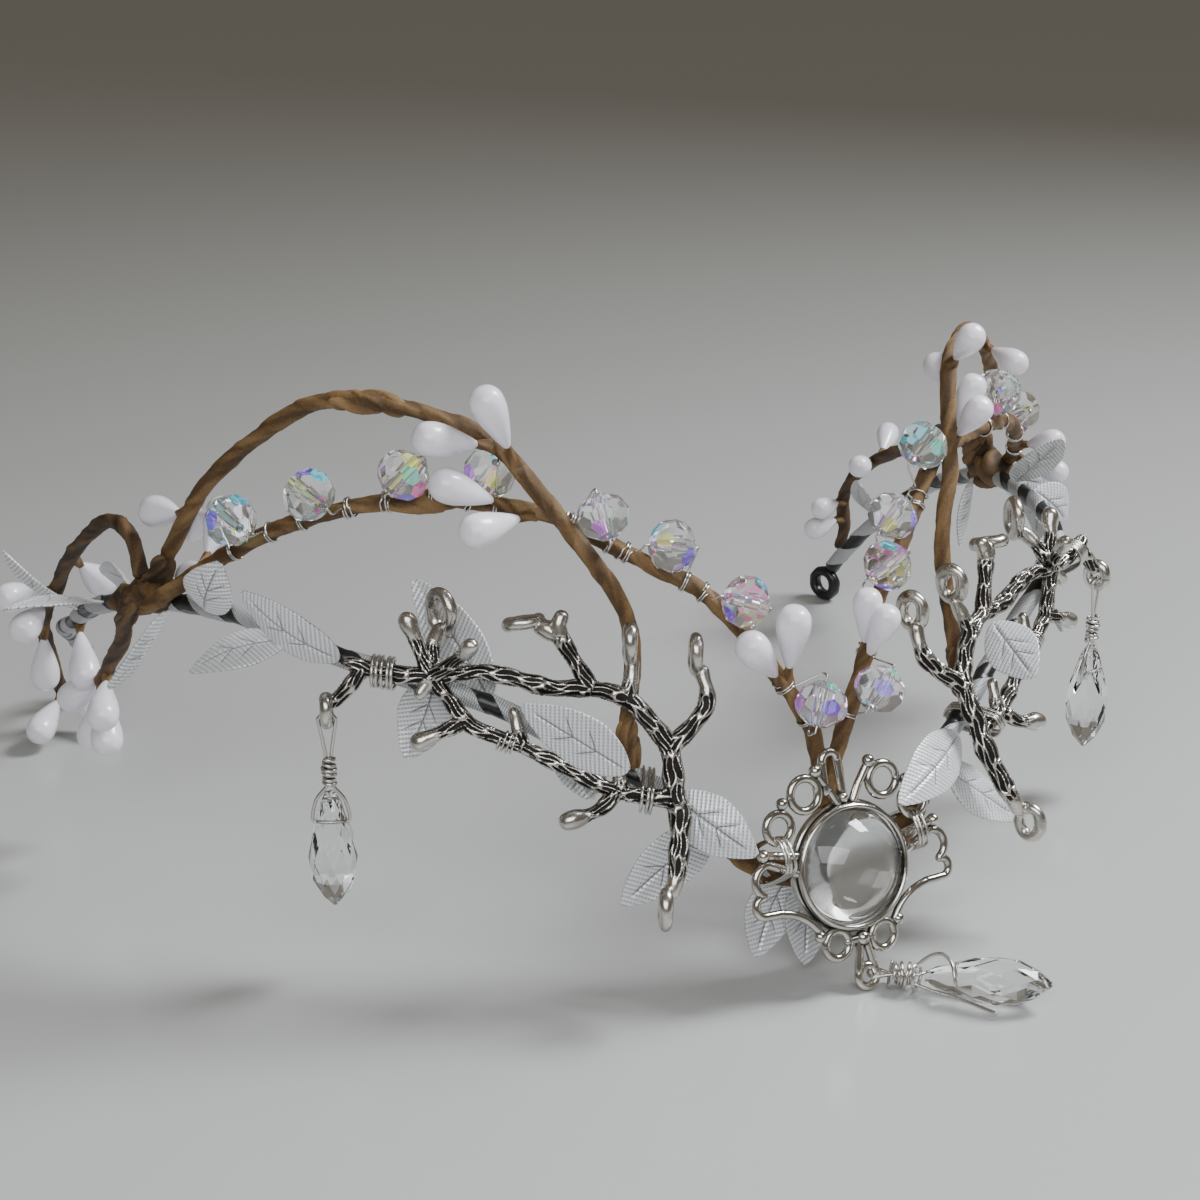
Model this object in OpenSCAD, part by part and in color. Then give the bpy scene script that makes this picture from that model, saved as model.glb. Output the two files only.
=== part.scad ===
// Fairy crown: an open circlet of taped wire with paper-wrapped vines, leaves, berries,
// faceted beads, two cast twig charms, a framed cabochon and three hanging drops.
// X runs to the wearer's left, Y to the back of the head, Z up; the crown stands on its own.

/* [Head] */
// Half width of the oval that the band follows
head_half_w = 92; // [88:1:96]
// Half depth of the same oval
head_half_d = 108; // [104:1:112]
// How far the wall leans back for each millimetre of height
lean = 0.33; // [0.28:0.01:0.38]

/* [Wires] */
// Radius of the taped band
band_r = 1.5; // [1.3:0.1:1.7]
// Radius of a paper-wrapped vine
vine_r = 1.25; // [1:0.05:1.3]
// Radius of the thin wire that holds a bead
thread_r = 0.25; // [0.2:0.05:0.3]
// Radius of the wire in the pendant's filigree
filigree_r = 0.7; // [0.6:0.05:0.8]
// Radius of the wire in ties and bails
tie_r = 0.3; // [0.25:0.05:0.35]

/* [Stones] */
// Diameter of a faceted bead
bead_d = 8; // [7:0.5:8]
// Length of a bead along its hole
bead_l = 7; // [6:0.5:7]
// Radius of a bead's hole
bead_hole_r = 0.6; // [0.5:0.05:0.7]
// Diameter of the cabochon
cab_d = 18; // [17:0.5:18]
// Height of the cabochon's dome
cab_h = 5; // [4:0.5:6]
// Widest diameter of a hanging drop
drop_d = 8.4; // [7.5:0.1:8.4]
// Length of a hanging drop
drop_l = 20; // [17:0.5:20]

/* [Berries] */
// Diameter of a berry's round end
berry_d = 5.5; // [4.5:0.1:5.5]
// Length of a berry without its stem
berry_l = 11.5; // [10:0.5:12]

/* [Leaves] */
// Width of a leaf
leaf_w = 8.8; // [7:0.2:9]
// Thickness of a leaf
leaf_t = 1; // [0.8:0.1:1.2]

/* [Hidden] */

// Where the middle of the crown's footprint lies from the pendant's foot
centre_x = -4.3;
centre_y = 76.4;
// Clear gap between a piece and what carries it
seat = 0.3;
// Sides of a swept wire, and the steps between two rows of its table
tube_sides = 6;
smooth = 2;

// Routes in crown places: turn from the front in degrees, height, distance outside the oval
band_rows = [
    [-120.5, 14, -1], [-117, 18, -1.6], [-108, 25, -2.4], [-98, 32, -1.8], [-91, 37, -1.2], [-85, 42.5, -0.5],
    [-78, 48, 0], [-72, 51.5, 0], [-66.5, 54, 0.5], [-61, 55.5, 1.5], [-56.5, 56.3, 2.5], [-51, 55.2, 2.8],
    [-46, 52.8, 2], [-41, 50.3, -0.4], [-34, 46.5, -3], [-27, 41, -4], [-20, 34.5, -5], [-16, 31, -4.6],
    [-11, 22.5, -4.5], [-6, 18, -4.5], [0, 17, -4.5],
    [6, 18, -4.5], [11, 22.5, -4.2], [16, 30.5, -3.4], [20, 33.5, -3.2], [27, 38.5, -2.4], [34, 43, -0.4],
    [39, 46, 2], [44, 47.8, 4], [51, 48.6, 4], [57, 48.5, 2.6], [63, 47.8, 1.4], [68, 47, 0.8],
    [72.5, 46, 0], [77, 43.6, 0], [81, 40.8, 0], [85, 38, 0], [89.5, 34, 0], [95, 28, 0], [101, 20, 0],
    [105, 14, 0], [108.5, 7.9, 0]];
loop_left = [-122, 9.4, -1];
loop_right = [110, 3.9, 0];

front_left_rows = [
    [-1, 20, -4.5], [-1, 27, -4.3], [-1, 34, -3.7], [-1.5, 40, -2.8], [-3.5, 46, -1.8], [-7, 55, -2],
    [-11, 62.5, -3.7], [-15, 66, -4.6], [-19, 69.5, -5], [-25, 74.5, -4.7], [-34, 77, -3],
    [-42, 76, -0.8], [-50, 71.8, 1.5], [-58, 64.4, 2.3], [-62, 60, 2.7], [-65, 56.5, 3.1], [-68, 53, 3.6]];
front_right_rows = [
    [1, 20, -4.5], [1, 27, -4.5], [1, 33, -4.2], [2, 37, -3.5], [4, 44, -2.2], [7, 51, -2.4],
    [10, 57, -3.6], [14, 61.5, -4.6], [17, 65, -5], [20.5, 70, -5], [24, 73, -5], [30, 73.8, -4.8],
    [36, 72.8, -4.5], [43, 71, -3.5], [50, 68, -2], [57, 63.3, -0.5], [62, 59, 1], [66, 55, 2.3],
    [70, 50.5, 3.2], [72.5, 48, 3.3]];
arch_left_rows = [
    [-21, 38.4, -5], [-20.6, 43, -6], [-19.4, 49, -7], [-19, 53, -7.4], [-18.9, 58, -6.8],
    [-20.1, 63.5, -4.6], [-22, 69.5, -1.9], [-25, 77, -2],
    [-29, 85, -2.8], [-33, 88.8, -2.4], [-40, 91.5, -1], [-46, 90.3, -0.5], [-52, 84.5, 0], [-58.5, 76, 0.4],
    [-62.5, 68.5, 0.4], [-66, 62, -0.3], [-69, 57, -1.6], [-71.5, 53, -3.1]];
arch_right_rows = [
    [22.5, 38.5, -4.4], [21.5, 50, -4], [21, 58, -3.4], [21.5, 65, -2.6], [23, 71, -1.8], [25, 78.5, -2.4],
    [27.5, 85.5, -3.2], [31, 88.5, -4], [38, 88.5, -5], [46, 85, -5.6], [54, 79.5, -4.6], [61, 73, -2.4],
    [65, 65.5, -0.8], [69, 58, -1.4], [72, 52.5, -2.4], [74, 48.3, -3.2]];
rear_left_rows = [
    [-70, 56.8, 1.1], [-70.8, 59.3, 0.2], [-72.5, 61.4, -1], [-75.5, 62, -2], [-78.5, 60.6, -2],
    [-82, 57.2, -2], [-86.5, 52, -1.5], [-91.5, 45.6, -1], [-95, 40.5, -0.5], [-99, 35.5, 0.6],
    [-104, 29.5, 1.4], [-109, 23, 1.9], [-112, 17.5, 2], [-114, 12, 2], [-116.5, 7.5, 2]];
rear_right_rows = [
    [74.5, 47.8, 1.4], [75, 50, -0.6], [76.5, 51.8, -2.6], [79, 51.6, -3.3], [82, 49.3, -3.5], [86, 45.5, -3.6],
    [92, 40.5, -3.4], [97, 36, -2.8], [102, 30, -1.6], [105.5, 23.5, 1], [107, 17, 3], [108.2, 12, 3.2]];
low_left_rows = [
    [-71, 52.2, 3.4], [-72.3, 49, 3], [-74, 45.5, 1.8], [-76, 42.3, 1], [-80.7, 35.6, 0], [-82.5, 32.3, 0]];

// Beads: turn, height, distance outside the oval, tilt of the hole in degrees
left_beads = [
    [-2, 46.5, 4.3, 60], [-8, 62.3, 2, -20], [-14, 70.3, -1, 10], [-20.3, 75, -1.2, 85],
    [-31, 79.3, -6.6, 70], [-37.6, 82, 2.2, 80], [-46, 78.8, 5.6, -35], [-54, 72.2, 5.6, -30]];
right_beads = [
    [4.6, 46.3, 3.2, 40], [9.8, 61.7, -0.8, 10], [12.5, 69.9, -3, 60], [20, 77.4, -3.2, 30],
    [42, 76.4, -2, 0], [64, 62.2, 3, 20]];

// Size of the berries on the wearer's left against the others
far_size = 0.86;
// Berries: turn, height and distance of the root on a vine, then the same for the round end
front_left_berries = [[-3.7, 47.5, -1.5, -9, 58, 5.8], [-3.7, 47.5, -1.5, -4, 62, 6]];
arch_left_berries = [[-29.3, 85.3, -2.8, -34.5, 89, 7], [-27.5, 82.5, -2.5, -29, 96, 5.5]];
mid_left_berries = [[-28.5, 76, -4.3, -34, 82, 5], [-26.5, 75, -4.6, -32, 75, 6]];
knot_left_berries = [
    [-62, 69.5, 0.4, -71.5, 65.4, -3], [-60.2, 72.5, 0.4, -71.8, 57.6, -10], [-60, 62, 2.5, -61.5, 69, -6.5],
    [-61, 61, 2.6, -71, 53, -9]];
low_left_berries = [
    [-88, 39.8, -0.7, -84, 32, 2], [-81.5, 34, 0, -87, 28, 2], [-81, 35, 0, -76, 31, 6.6],
    [-82.3, 32.6, 0, -78, 22, 5], [-82.3, 32.6, 0, -87, 20, 1]];
end_left_berries = [
    [-116.5, 7.5, 2, -109.5, 2.9, 8.2], [-116.3, 8, 1, -114, 3.4, -5], [-104, 29.5, 0.5, -108, 14, 3.4],
    [-95, 40.5, -0.5, -91, 43, 10.2], [-98, 36.8, 0, -93, 36, 7], [-88, 50, -1.5, -93, 42, -8]];
front_right_berries = [[5, 47, -2.3, 6, 61, 7.8], [5.5, 48.5, -2.4, 5, 61, 3.3]];
arch_right_berries = [
    [28.2, 86.5, -3.3, 24, 95, 6], [26.5, 82.5, -2.8, 34, 85, -9.6], [54, 79.5, -4.6, 48, 78.5, 2],
    [28, 73.7, -4.9, 29, 86, 1.4], [28, 73.7, -4.9, 25, 83, 4.8]];
knot_right_berries = [[66, 55, 2.3, 60, 59, 8], [69, 51.5, 3, 64, 50, 11.3]];
end_right_berries = [
    [95, 37.8, -3, 99, 41, 6.6], [97, 36, -2.8, 92, 39, -13.3], [105.5, 23.5, 1, 103, 25, -11.5],
    [106.6, 19, 2.2, 106, 19, -10.9]];

// Leaves: root turn, height, distance, then the tip's, then roll about the leaf, the band's side
// that carries it (1 outside, -1 inside, 0 where the root stands free of it) and the bow
front_left_leaves = [[-18, 31, -4.7, -10.5, 25, 2.5, 0, 1, 1.6], [-5, 18, -4.5, -10, 4, -9, 0, -1, -1.6],
    [-1.5, 17, -4.5, -4.5, 2, -8, 0, -1, -1.6]];
low_left_leaves = [[-13.5, 25.5, -4.5, -24, 14, -8, 0, -1, -1.6], [-26, 40, -4.2, -25.8, 30, -9, 0, -1, -1.6]];
charm_left_leaves = [[-34, 46.5, -3, -41, 62, -9, 0, -1, -1.6], [-39, 49.5, -1.4, -43.5, 36, -4, 0, -1, -1.6],
    [-21.3, 39.2, 3, -30, 48.6, 2.4, 20, 0, 0]];
side_left_leaves = [[-46, 52.8, 2, -52, 64, 11, 27, 1, 1.6], [-50.5, 55, 2.8, -57.6, 50.9, 13.6, -46, 1, 1.6]];
knot_left_leaves = [[-75, 50, 0, -83.5, 49.7, -3.5, 40, -1, -1.6], [-64.3, 54.2, 4.6, -65.3, 45.5, 17, 123, 0, 1],
    [-60, 55.7, 1.8, -55.3, 66.2, 7.6, -26, 1, 1.6]];
end_left_leaves = [[-84, 43.3, -0.4, -80.7, 58, 15, -22, 1, 1.6], [-77, 48.6, 0, -75, 53.6, 21.4, 55, 1, 1.6]];
front_right_leaves = [[17.5, 31.8, -3.3, 5, 28.7, 3.9, -20, 1, 1.6],
    [14.5, 28.1, -3.6, 22, 17.6, 3.6, 20, 1, 0]];
charm_right_leaves = [[24.8, 47.2, 1, 21.5, 42.3, 10.7, -80, 0, 0], [47.5, 48.3, 4, 47, 33, 3, 15, -1, -1.6]];
side_right_leaves = [[66.5, 47.3, 1, 71.5, 33.7, 7.7, 20, 1, 1.6], [63, 47.8, 1.4, 65, 41.2, 10, -60, 1, 1.6],
    [62.5, 50.6, 0, 56, 61.8, 8.2, -80, 0, 0]];
knot_right_leaves = [[71.3, 45.8, 3, 74.5, 42.2, 12.9, -60, 0, 0], [74, 45.3, 0, 72, 33.2, -8.4, -20, -1, 0],
    [97, 25.4, 0, 94, 35, -11, 0, -1, -1.6]];

// Cast twigs: where each plate starts beside the pendant, the way it runs, and how far its
// outer end dips; left, then right
charm_start = [[24, 4], [25.5, 2.5]];
charm_turn = [26, 24];
charm_dip = [0, 3];
charm_lean = 0.36;
charm_fn = 5;
// Twig limbs on the plate: along the band, height, distance in front of it, radius
charm_limbs = [
    [[49.7, 53.8, 0, 1], [44.5, 52.2, 0, 1.25], [37.5, 51.7, 0, 1.35], [33.5, 51.9, 0, 1.1], [30, 52.2, 0, 1.2],
     [25, 51.3, 0, 1.3], [19.5, 49.7, 0, 1.3], [13, 49.5, 0, 1.3], [7.7, 48, 0.5, 1.4], [4.8, 44.6, 0.5, 1.4],
     [2.5, 40.7, 1, 1.5], [2.7, 35, 2.3, 1.6], [2.6, 31, 3.5, 1.6], [4.3, 24.5, 5.5, 1.4],
     [5.5, 22, 6, 1.2]],
    [[37.5, 51.7, 0, 1.2], [33.6, 45.3, 0, 1.2], [31.5, 43.6, 0, 1.2], [25.2, 41.2, 0.5, 1.1],
     [18, 37.6, 1, 1.2], [11.7, 34.8, 1.5, 1.2], [2.8, 33.8, 2.5, 1.4]],
    [[48, 52.8, 0, 1.1], [50.8, 50, 0, 1.2], [53, 48, -0.5, 1]],
    [[2.5, 40.7, 1, 1.4], [-4.2, 46, -1, 1.3], [-4.5, 50.8, -2.1, 1.1]],
    [[7.7, 48, 0.5, 1.2], [6, 52.9, -0.5, 1]],
    [[13, 49.5, 0, 1.2], [16.6, 57.4, 0, 1.2], [16, 60, 0, 0.9]],
    [[16.6, 57.4, 0, 1.2], [19.3, 58.2, -1.3, 1]],
    [[37.5, 51.7, 0, 1.2], [36.6, 55.5, -2, 1.2], [35.3, 57.3, -3.5, 1]],
    [[37.5, 51.7, 0, 1.2], [39.8, 60, 0, 1]],
    [[37.5, 51.7, 0, 1.1], [33, 55.4, 4, 1], [30, 59, 8, 0.9]],
    [[37.5, 51.7, 0, 1.1], [39.7, 49.2, 0.5, 0.9]],
    [[33.6, 44.8, 0, 1.1], [41, 42, 0, 1]],
    [[11.7, 34.8, 1.5, 1.1], [15, 32.4, 2.5, 1.1], [20, 31.3, 3.5, 1]],
    [[10.6, 34.5, 1.6, 1], [11.3, 39, 1, 0.9]],
    [[25.2, 41.2, 0.5, 1.1], [25.7, 46, 0, 0.9]]];
// Rings that the twig's tips curl into: along, height, distance, and 1 where the ring lies flat
charm_rings = [[-4, 53.4, -2.5, 0], [6, 55.8, -0.6, 0], [22, 58.6, -2.3, 1], [34.7, 59.6, -4.4, 0],
    [7, 19.6, 7, 0]];
ring_mid_r = 1.75;
ring_wire_r = 0.75;
drop_ring = [54.7, 46.4, -1, 0];
// Bindings of a charm to the band: along, height, distance, turns of wire
charm_bindings = [[45, 52.2, 0, 5], [7.2, 34, 2, 3]];

// Pendant: height of its middle, distance outside the oval, roll of its filigree, and the tray
// round the cabochon
pendant_h = 19.42;
pendant_out = -0.1;
pendant_roll = -2;
tray_r = 10.3;
tray_front = 1.2;
tray_back = -2.2;
cab_seat = -0.4;
granule_r = 1;

// Bails: eye round its ring, then a neck, a wrapped barrel and a lower loop through the stone
bail_eye_r = 1.35;
barrel_l = 5;
stone_gap = 0.7;
stone_hole_down = 5.2;
stone_hole_r = 0.5;
bail_leg_x = 2.95;
neck_hanging = 6.5;
neck_front = 2.2;
front_drop_turn = -44;
front_drop_rise = 4.8;

function unit(v) = v / norm(v);
// Point and outward direction on the oval at a turn
function wall(turn) = [head_half_w * sin(turn), head_half_d * (1 - cos(turn))];
function wall_out(turn) = unit([head_half_d * sin(turn), -head_half_w * cos(turn)]);
// Crown place to millimetres
function spot(p) = let (w = wall(p[0]), n = wall_out(p[0]))
    [w[0] + p[2] * n[0] - centre_x, w[1] + p[2] * n[1] + lean * p[1] - centre_y, p[1]];
function spots(rows) = [for (r = rows) spot(r)];
// Smooth curve through the rows of a table
function between(a, b, c, d, t) =
    0.5 * (2 * b + (c - a) * t + (2 * a - 5 * b + 4 * c - d) * t * t + (3 * b - a - 3 * c + d) * t * t * t);
function curve(rows, steps = smooth) = let (last = len(rows) - 1) [
    for (i = [0 : last - 1])
        for (k = [0 : steps - 1])
            between(rows[max(i - 1, 0)], rows[i], rows[i + 1], rows[min(i + 2, last)], k / steps),
    rows[last]];
// Nearest place on a wire, and the wire's direction there
function foot_on(a, b, p) = let (ab = b - a, t = ((p - a) * ab) / (ab * ab)) a + min(1, max(0, t)) * ab;
function on_wire(points, p) = let (
    feet = [for (i = [0 : len(points) - 2]) foot_on(points[i], points[i + 1], p)],
    gaps = [for (q = feet) norm(q - p)],
    least = min(gaps),
    i = [for (k = [0 : len(gaps) - 1]) if (gaps[k] == least) k][0])
    [feet[i], unit(points[i + 1] - points[i])];
function on_wires(wires, p) = let (
    hits = [for (w = wires) on_wire(w, p)],
    gaps = [for (h = hits) norm(h[0] - p)],
    least = min(gaps)) [for (h = hits) if (norm(h[0] - p) == least) h][0];
function tangent(points, i) = unit(points[min(i + 1, len(points) - 1)] - points[max(i - 1, 0)]);
// Angles that turn +Z to a direction
function aim(d) = [0, acos(d[2] / norm(d)), atan2(d[1], d[0])];

// Wire swept through points; ref keeps its sides from twisting
module tube(points, radius, ref = [0, 0, 1], sides = tube_sides) {
    n = len(points);
    rings = [for (i = [0 : n - 1])
        let (
            t = tangent(points, i),
            side = unit(cross(t, ref)),
            up = cross(side, t))
        for (k = [0 : sides - 1])
            points[i] + radius * (cos(360 * k / sides) * side + sin(360 * k / sides) * up)];
    skin = [for (i = [0 : n - 2]) for (k = [0 : sides - 1])
        let (a = i * sides + k, b = i * sides + (k + 1) % sides)
        for (f = [[a, b, a + sides], [b, b + sides, a + sides]]) f];
    caps = [[for (k = [0 : sides - 1]) sides - 1 - k], [for (k = [0 : sides - 1]) (n - 1) * sides + k]];
    polyhedron(points = rings, faces = concat(skin, caps), convexity = 10);
}

module place(p, d) {
    translate(p)
        rotate(aim(d))
            children();
}

// Straight wire between two points, with round ends
module rod(a, b, r) {
    place(a, b - a)
        cylinder(h = norm(b - a), r = r, $fn = 24);
    for (p = [a, b])
        translate(p)
            sphere(r = r + 0.02, $fn = 24);
}

// Bent wire in the plane of X and Y: middle, radius of the bend, first angle and swept angle
module bend(middle, bend_r, from, sweep, r = filigree_r) {
    translate(middle)
        rotate([0, 0, from])
            rotate_extrude(angle = sweep, $fn = 48)
                translate([bend_r, 0])
                    circle(r = r, $fn = 24);
}

band_points = spots(curve(band_rows));
front_left_points = spots(curve(front_left_rows));
front_right_points = spots(curve(front_right_rows));
// Every wire that carries berries
stems = concat([band_points, front_left_points, front_right_points],
    [for (rows = [arch_left_rows, arch_right_rows, rear_left_rows, rear_right_rows, low_left_rows])
        spots(curve(rows))]);

module band() {
    color("#1c1c1e")
        tube(band_points, band_r);
}

// Eye at an end of the band, for a ribbon tie
module band_loop(row) {
    out = wall_out(row[0]);
    color("#1c1c1e")
        place(spot(row), [out[0], out[1], 0])
            rotate_extrude($fn = 48)
                polygon([[1.8, -1], [2.2, -1.4], [3.4, -1.3], [3.9, -0.5],
                    [3.9, 0.5], [3.4, 1.3], [2.2, 1.4], [1.8, 1]]);
}

module vine(rows) {
    color("#8a6134")
        tube(spots(curve(rows)), vine_r, [0.05, 1, 0.1]);
}

// Faceted bead, drilled along Z
module bead() {
    flat_r = 2.2;
    girdle = 1.1;
    color("#dfe7ee")
        rotate_extrude($fn = 10)
            polygon([[bead_hole_r, -bead_l / 2], [flat_r, -bead_l / 2], [bead_d / 2, -girdle],
                [bead_d / 2, girdle], [flat_r, bead_l / 2], [bead_hole_r, bead_l / 2]]);
}

// A bead sits beside the nearest stretch of its vine
function bead_middle(row, points) = let (
    p = spot(row),
    q = on_wire(points, p)[0]) q + unit(p - q) * (vine_r + bead_d / 2 + seat);
// Its hole runs square to the way it sits on the vine
function bead_axis(row, points) = let (
    out = wall_out(row[0]),
    c = bead_middle(row, points),
    down = unit(on_wire(points, c)[0] - c),
    a = [-out[1] * cos(row[3]), out[0] * cos(row[3]), sin(row[3])])
    unit(a - (a * down) * down);

module bead_on(row, points) {
    place(bead_middle(row, points), bead_axis(row, points))
        bead();
}

// Thin wire from the vine, through the bead and back
module bead_thread(row, points) {
    c = bead_middle(row, points);
    axis = bead_axis(row, points);
    reach = bead_l / 2 + 0.6;
    down = unit(on_wire(points, c)[0] - c);
    ends = [for (s = [-1, 1]) let (
        e = c + s * axis * (reach + 1.2) + down * (bead_d / 2),
        q = on_wire(points, e)[0]) q + unit(e - q) * (vine_r + thread_r + 0.15)];
    route = [ends[0], c - axis * (reach + 0.8) + down * 2, c - axis * reach, c + axis * reach,
        c + axis * (reach + 0.8) + down * 2, ends[1]];
    color("#c9c9cb")
        tube(route, thread_r, cross(axis, down), 5);
}

// Berry on its stem, from the nearest wire towards the round end
module berry(row, size) {
    tip = spot([row[3], row[4], row[5]]);
    hit = on_wires(stems, spot([row[0], row[1], row[2]]));
    d = unit(tip - hit[0]);
    slant = norm(cross(d, hit[1]));
    from = (band_r + seat) / max(slant, 0.6);
    foot = from + 0.9;
    w = size * berry_d / 2;
    long = size * berry_l;
    color("#e6e2f2")
        place(hit[0], d)
            rotate_extrude($fn = 32)
                polygon([[0, from], [0.4, from], [0.4, foot], [0.9, foot + 0.3], [0.5 * w, foot + 0.22 * long],
                    [0.76 * w, foot + 0.42 * long], [0.96 * w, foot + 0.62 * long],
                    [w, foot + 0.76 * long], [0.86 * w, foot + 0.89 * long],
                    [0.45 * w, foot + 0.98 * long], [0, foot + long]]);
}

module berries(rows, size = 1) {
    for (r = rows)
        berry(r, size);
}

// Leaf: a pointed plate, bowed along its length, beside the band
module leaf(row) {
    p = spot([row[0], row[1], row[2]]);
    q = row[7] == 0 ? p : on_wire(band_points, p)[0];
    out2 = wall_out(row[0]);
    out = unit([out2[0], out2[1], 0.3]);
    root = q + row[7] * out * (band_r + leaf_t / 2 + seat);
    tip = spot([row[3], row[4], row[5]]);
    long = norm(tip - root);
    x = unit(tip - root);
    flat = unit(out - (out * x) * x);
    y0 = cross(flat, x);
    z = cos(row[6]) * flat + sin(row[6]) * y0;
    y = cross(z, x);
    stations = 6;
    bow = row[8];
    tip_half = 0.35;
    cut = [for (i = [0 : stations])
        let (s = i / stations,
            half = tip_half + (leaf_w / 2 - tip_half) * pow(sin(180 * pow(s, 0.85)), 0.8),
            middle = root + x * long * s + z * bow * sin(180 * s))
        for (c = [[-1, 1], [1, 1], [1, -1], [-1, -1]])
            middle + y * c[0] * half + z * c[1] * leaf_t / 2];
    skin = [for (i = [0 : stations - 1]) for (k = [0 : 3])
        let (a = 4 * i + k, b = 4 * i + (k + 1) % 4)
        for (f = [[a, b, a + 4], [b, b + 4, a + 4]]) f];
    caps = [[3, 2, 1, 0], [for (k = [0 : 3]) 4 * stations + k]];
    color("#c9ccd2")
        polyhedron(points = cut, faces = concat(skin, caps), convexity = 4);
}

module leaves(rows) {
    for (r = rows)
        leaf(r);
}

// Directions of a charm's plate, along the band and in front; side is -1 or 1
function pick(side) = side < 0 ? 0 : 1;
function charm_along(side) = let (t = charm_turn[pick(side)]) [side * cos(t), sin(t), 0];
function charm_front(side) = let (t = charm_turn[pick(side)]) [side * sin(t), -cos(t), 0];
function charm_spot(side, p) = let (
    i = pick(side),
    h = p[1] - p[0] * tan(charm_dip[i]))
    [side * charm_start[i][0] - centre_x, charm_start[i][1] - centre_y + charm_lean * h, h]
    + charm_along(side) * p[0] + charm_front(side) * p[2];

module charm(side) {
    color("#8d8d8c") {
        for (limb = charm_limbs)
            for (i = [0 : len(limb) - 2])
                hull()
                    for (p = [limb[i], limb[i + 1]])
                        translate(charm_spot(side, p))
                            sphere(r = p[3], $fn = charm_fn);
        for (p = concat(charm_rings, [drop_ring]))
            place(charm_spot(side, p), p[3] == 1 ? [0, charm_lean, 1] : charm_along(side))
                rotate_extrude($fn = 10)
                    translate([ring_mid_r, 0])
                        circle(r = ring_wire_r, $fn = 6);
    }
}

// Coil of thin wire round two rods that lie side by side; around and deep are its reach past
// their middles, across them and beyond them
module coil(a, b, axis, turns, around, deep) {
    c = (a + b) / 2;
    d = unit(b - a);
    t = unit(axis - (axis * d) * d);
    s = cross(t, d);
    reach = norm(b - a) / 2;
    pitch = 2 * tie_r + 0.2;
    path = [for (k = [0 : 6 * turns])
        let (turn = 60 * k + 1, along = (k / 6 - turns / 2) * pitch)
        c + t * along + d * (deep * cos(turn) + (cos(turn) > 0 ? reach : -reach))
        + s * around * sin(turn)];
    color("#b8b8ba")
        tube(path, tie_r, t, 5);
}

module charm_ties(side) {
    for (row = charm_bindings) {
        p = charm_spot(side, row);
        hit = on_wire(band_points, p);
        coil(p, hit[0], charm_along(side) + side * hit[1], row[3], 2.6, 2.6);
    }
}

module pendant_place() {
    at = spot([0, pendant_h, pendant_out]);
    translate(at)
        rotate([90 - atan(lean), 0, 0])
            children();
}

// Cast wire of the filigree: curls in the pendant's plane, and straight runs
module curl(middle, bend_r, from, sweep) {
    translate(middle)
        rotate([0, 0, from])
            rotate_extrude(angle = sweep, $fn = 16)
                translate([bend_r, 0])
                    circle(r = filigree_r, $fn = 6);
}

module run(a, b) {
    hull()
        for (p = [a, b])
            translate(p)
                sphere(r = filigree_r, $fn = 6);
}

// Half of the filigree, on the side of +X
module filigree_half() {
    curl([7.3, 12.8, 0], 2.6, 0, 360);
    curl([12.6, 8.4, 0], 2.3, 0, 360);
    run([1.4, 10.3, 0], [2.7, 12.8, 0]);
    run([2.7, 12.8, 0], [4.7, 15.6, 0]);
    run([9.6, 3.4, 0], [16, 4.6, 0]);
    run([9.6, 0.4, 0], [15.1, 3, 0]);
    curl([15.3, 0.5, 0], 2.55, -58, 153);
    curl([16.6, -3.4, 0], 1.6, -70, 162);
    run([17.2, -4.9, 0], [13.6, -5.05, 0]);
    curl([15, -14.2, 0], 9.2, 98, 54);
    curl([4.3, -11.9, 0], 2.2, 0, 360);
    run([0, -11.7, 0], [2.4, -11.8, 0]);
    for (p = [[5, 16.2, 0], [11.6, 12.1, 0], [16, 4.6, 0], [7.4, -10, 0]])
        translate(p)
            sphere(r = granule_r, $fn = 6);
}

module pendant_setting() {
    rim = 1.1;
    color("#9b9b99")
        pendant_place() {
            difference() {
                translate([0, 0, tray_back])
                    cylinder(h = tray_front - tray_back, r = tray_r, $fn = 36);
                translate([0, 0, cab_seat - 0.1])
                    cylinder(h = 10, r = tray_r - rim, $fn = 36);
            }
            rotate([0, 0, pendant_roll]) {
                filigree_half();
                mirror([1, 0, 0])
                    filigree_half();
            }
            // Loop at the top, a little to one side
            run([-2.9, 12.6, 0], [-2.9, 17.4, 0]);
            curl([-1.5, 17.4, 0], 1.4, 0, 180);
            run([-0.1, 17.4, 0], [0.2, 10.8, 0]);
            translate([0, -11.7, 0])
                sphere(r = 1.15, $fn = 8);
            translate([0, 11.2, 0])
                sphere(r = 0.9, $fn = 8);
            curl([0, -18, 0], 1.7, 0, 360);
            run([-1.5, -17, 0], [-0.5, -11.6, 0]);
            run([1.5, -17, 0], [0.5, -11.6, 0]);
        }
}

module cabochon() {
    base = cab_d / 2;
    dome = (base * base + cab_h * cab_h) / (2 * cab_h);
    color("#dde3e6")
        pendant_place()
            translate([0, 0, cab_seat])
                intersection() {
                    translate([0, 0, cab_h - dome])
                        sphere(r = dome, $fn = 64);
                    cylinder(h = cab_h + 1, r = base, $fn = 64);
                }
}

// Turns of wire that bind the pendant's side bars to the band behind
module pendant_ties() {
    t = atan(lean);
    for (side = [-1, 1]) {
        rise = 3.9 + side * 12.6 * sin(pendant_roll);
        p = spot([0, pendant_h, pendant_out]) + [side * 12.6, rise * sin(t), rise * cos(t)];
        coil(p, on_wire(band_points, p)[0], [1, 0, 0], 2, 4, 3.2);
    }
}

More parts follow.
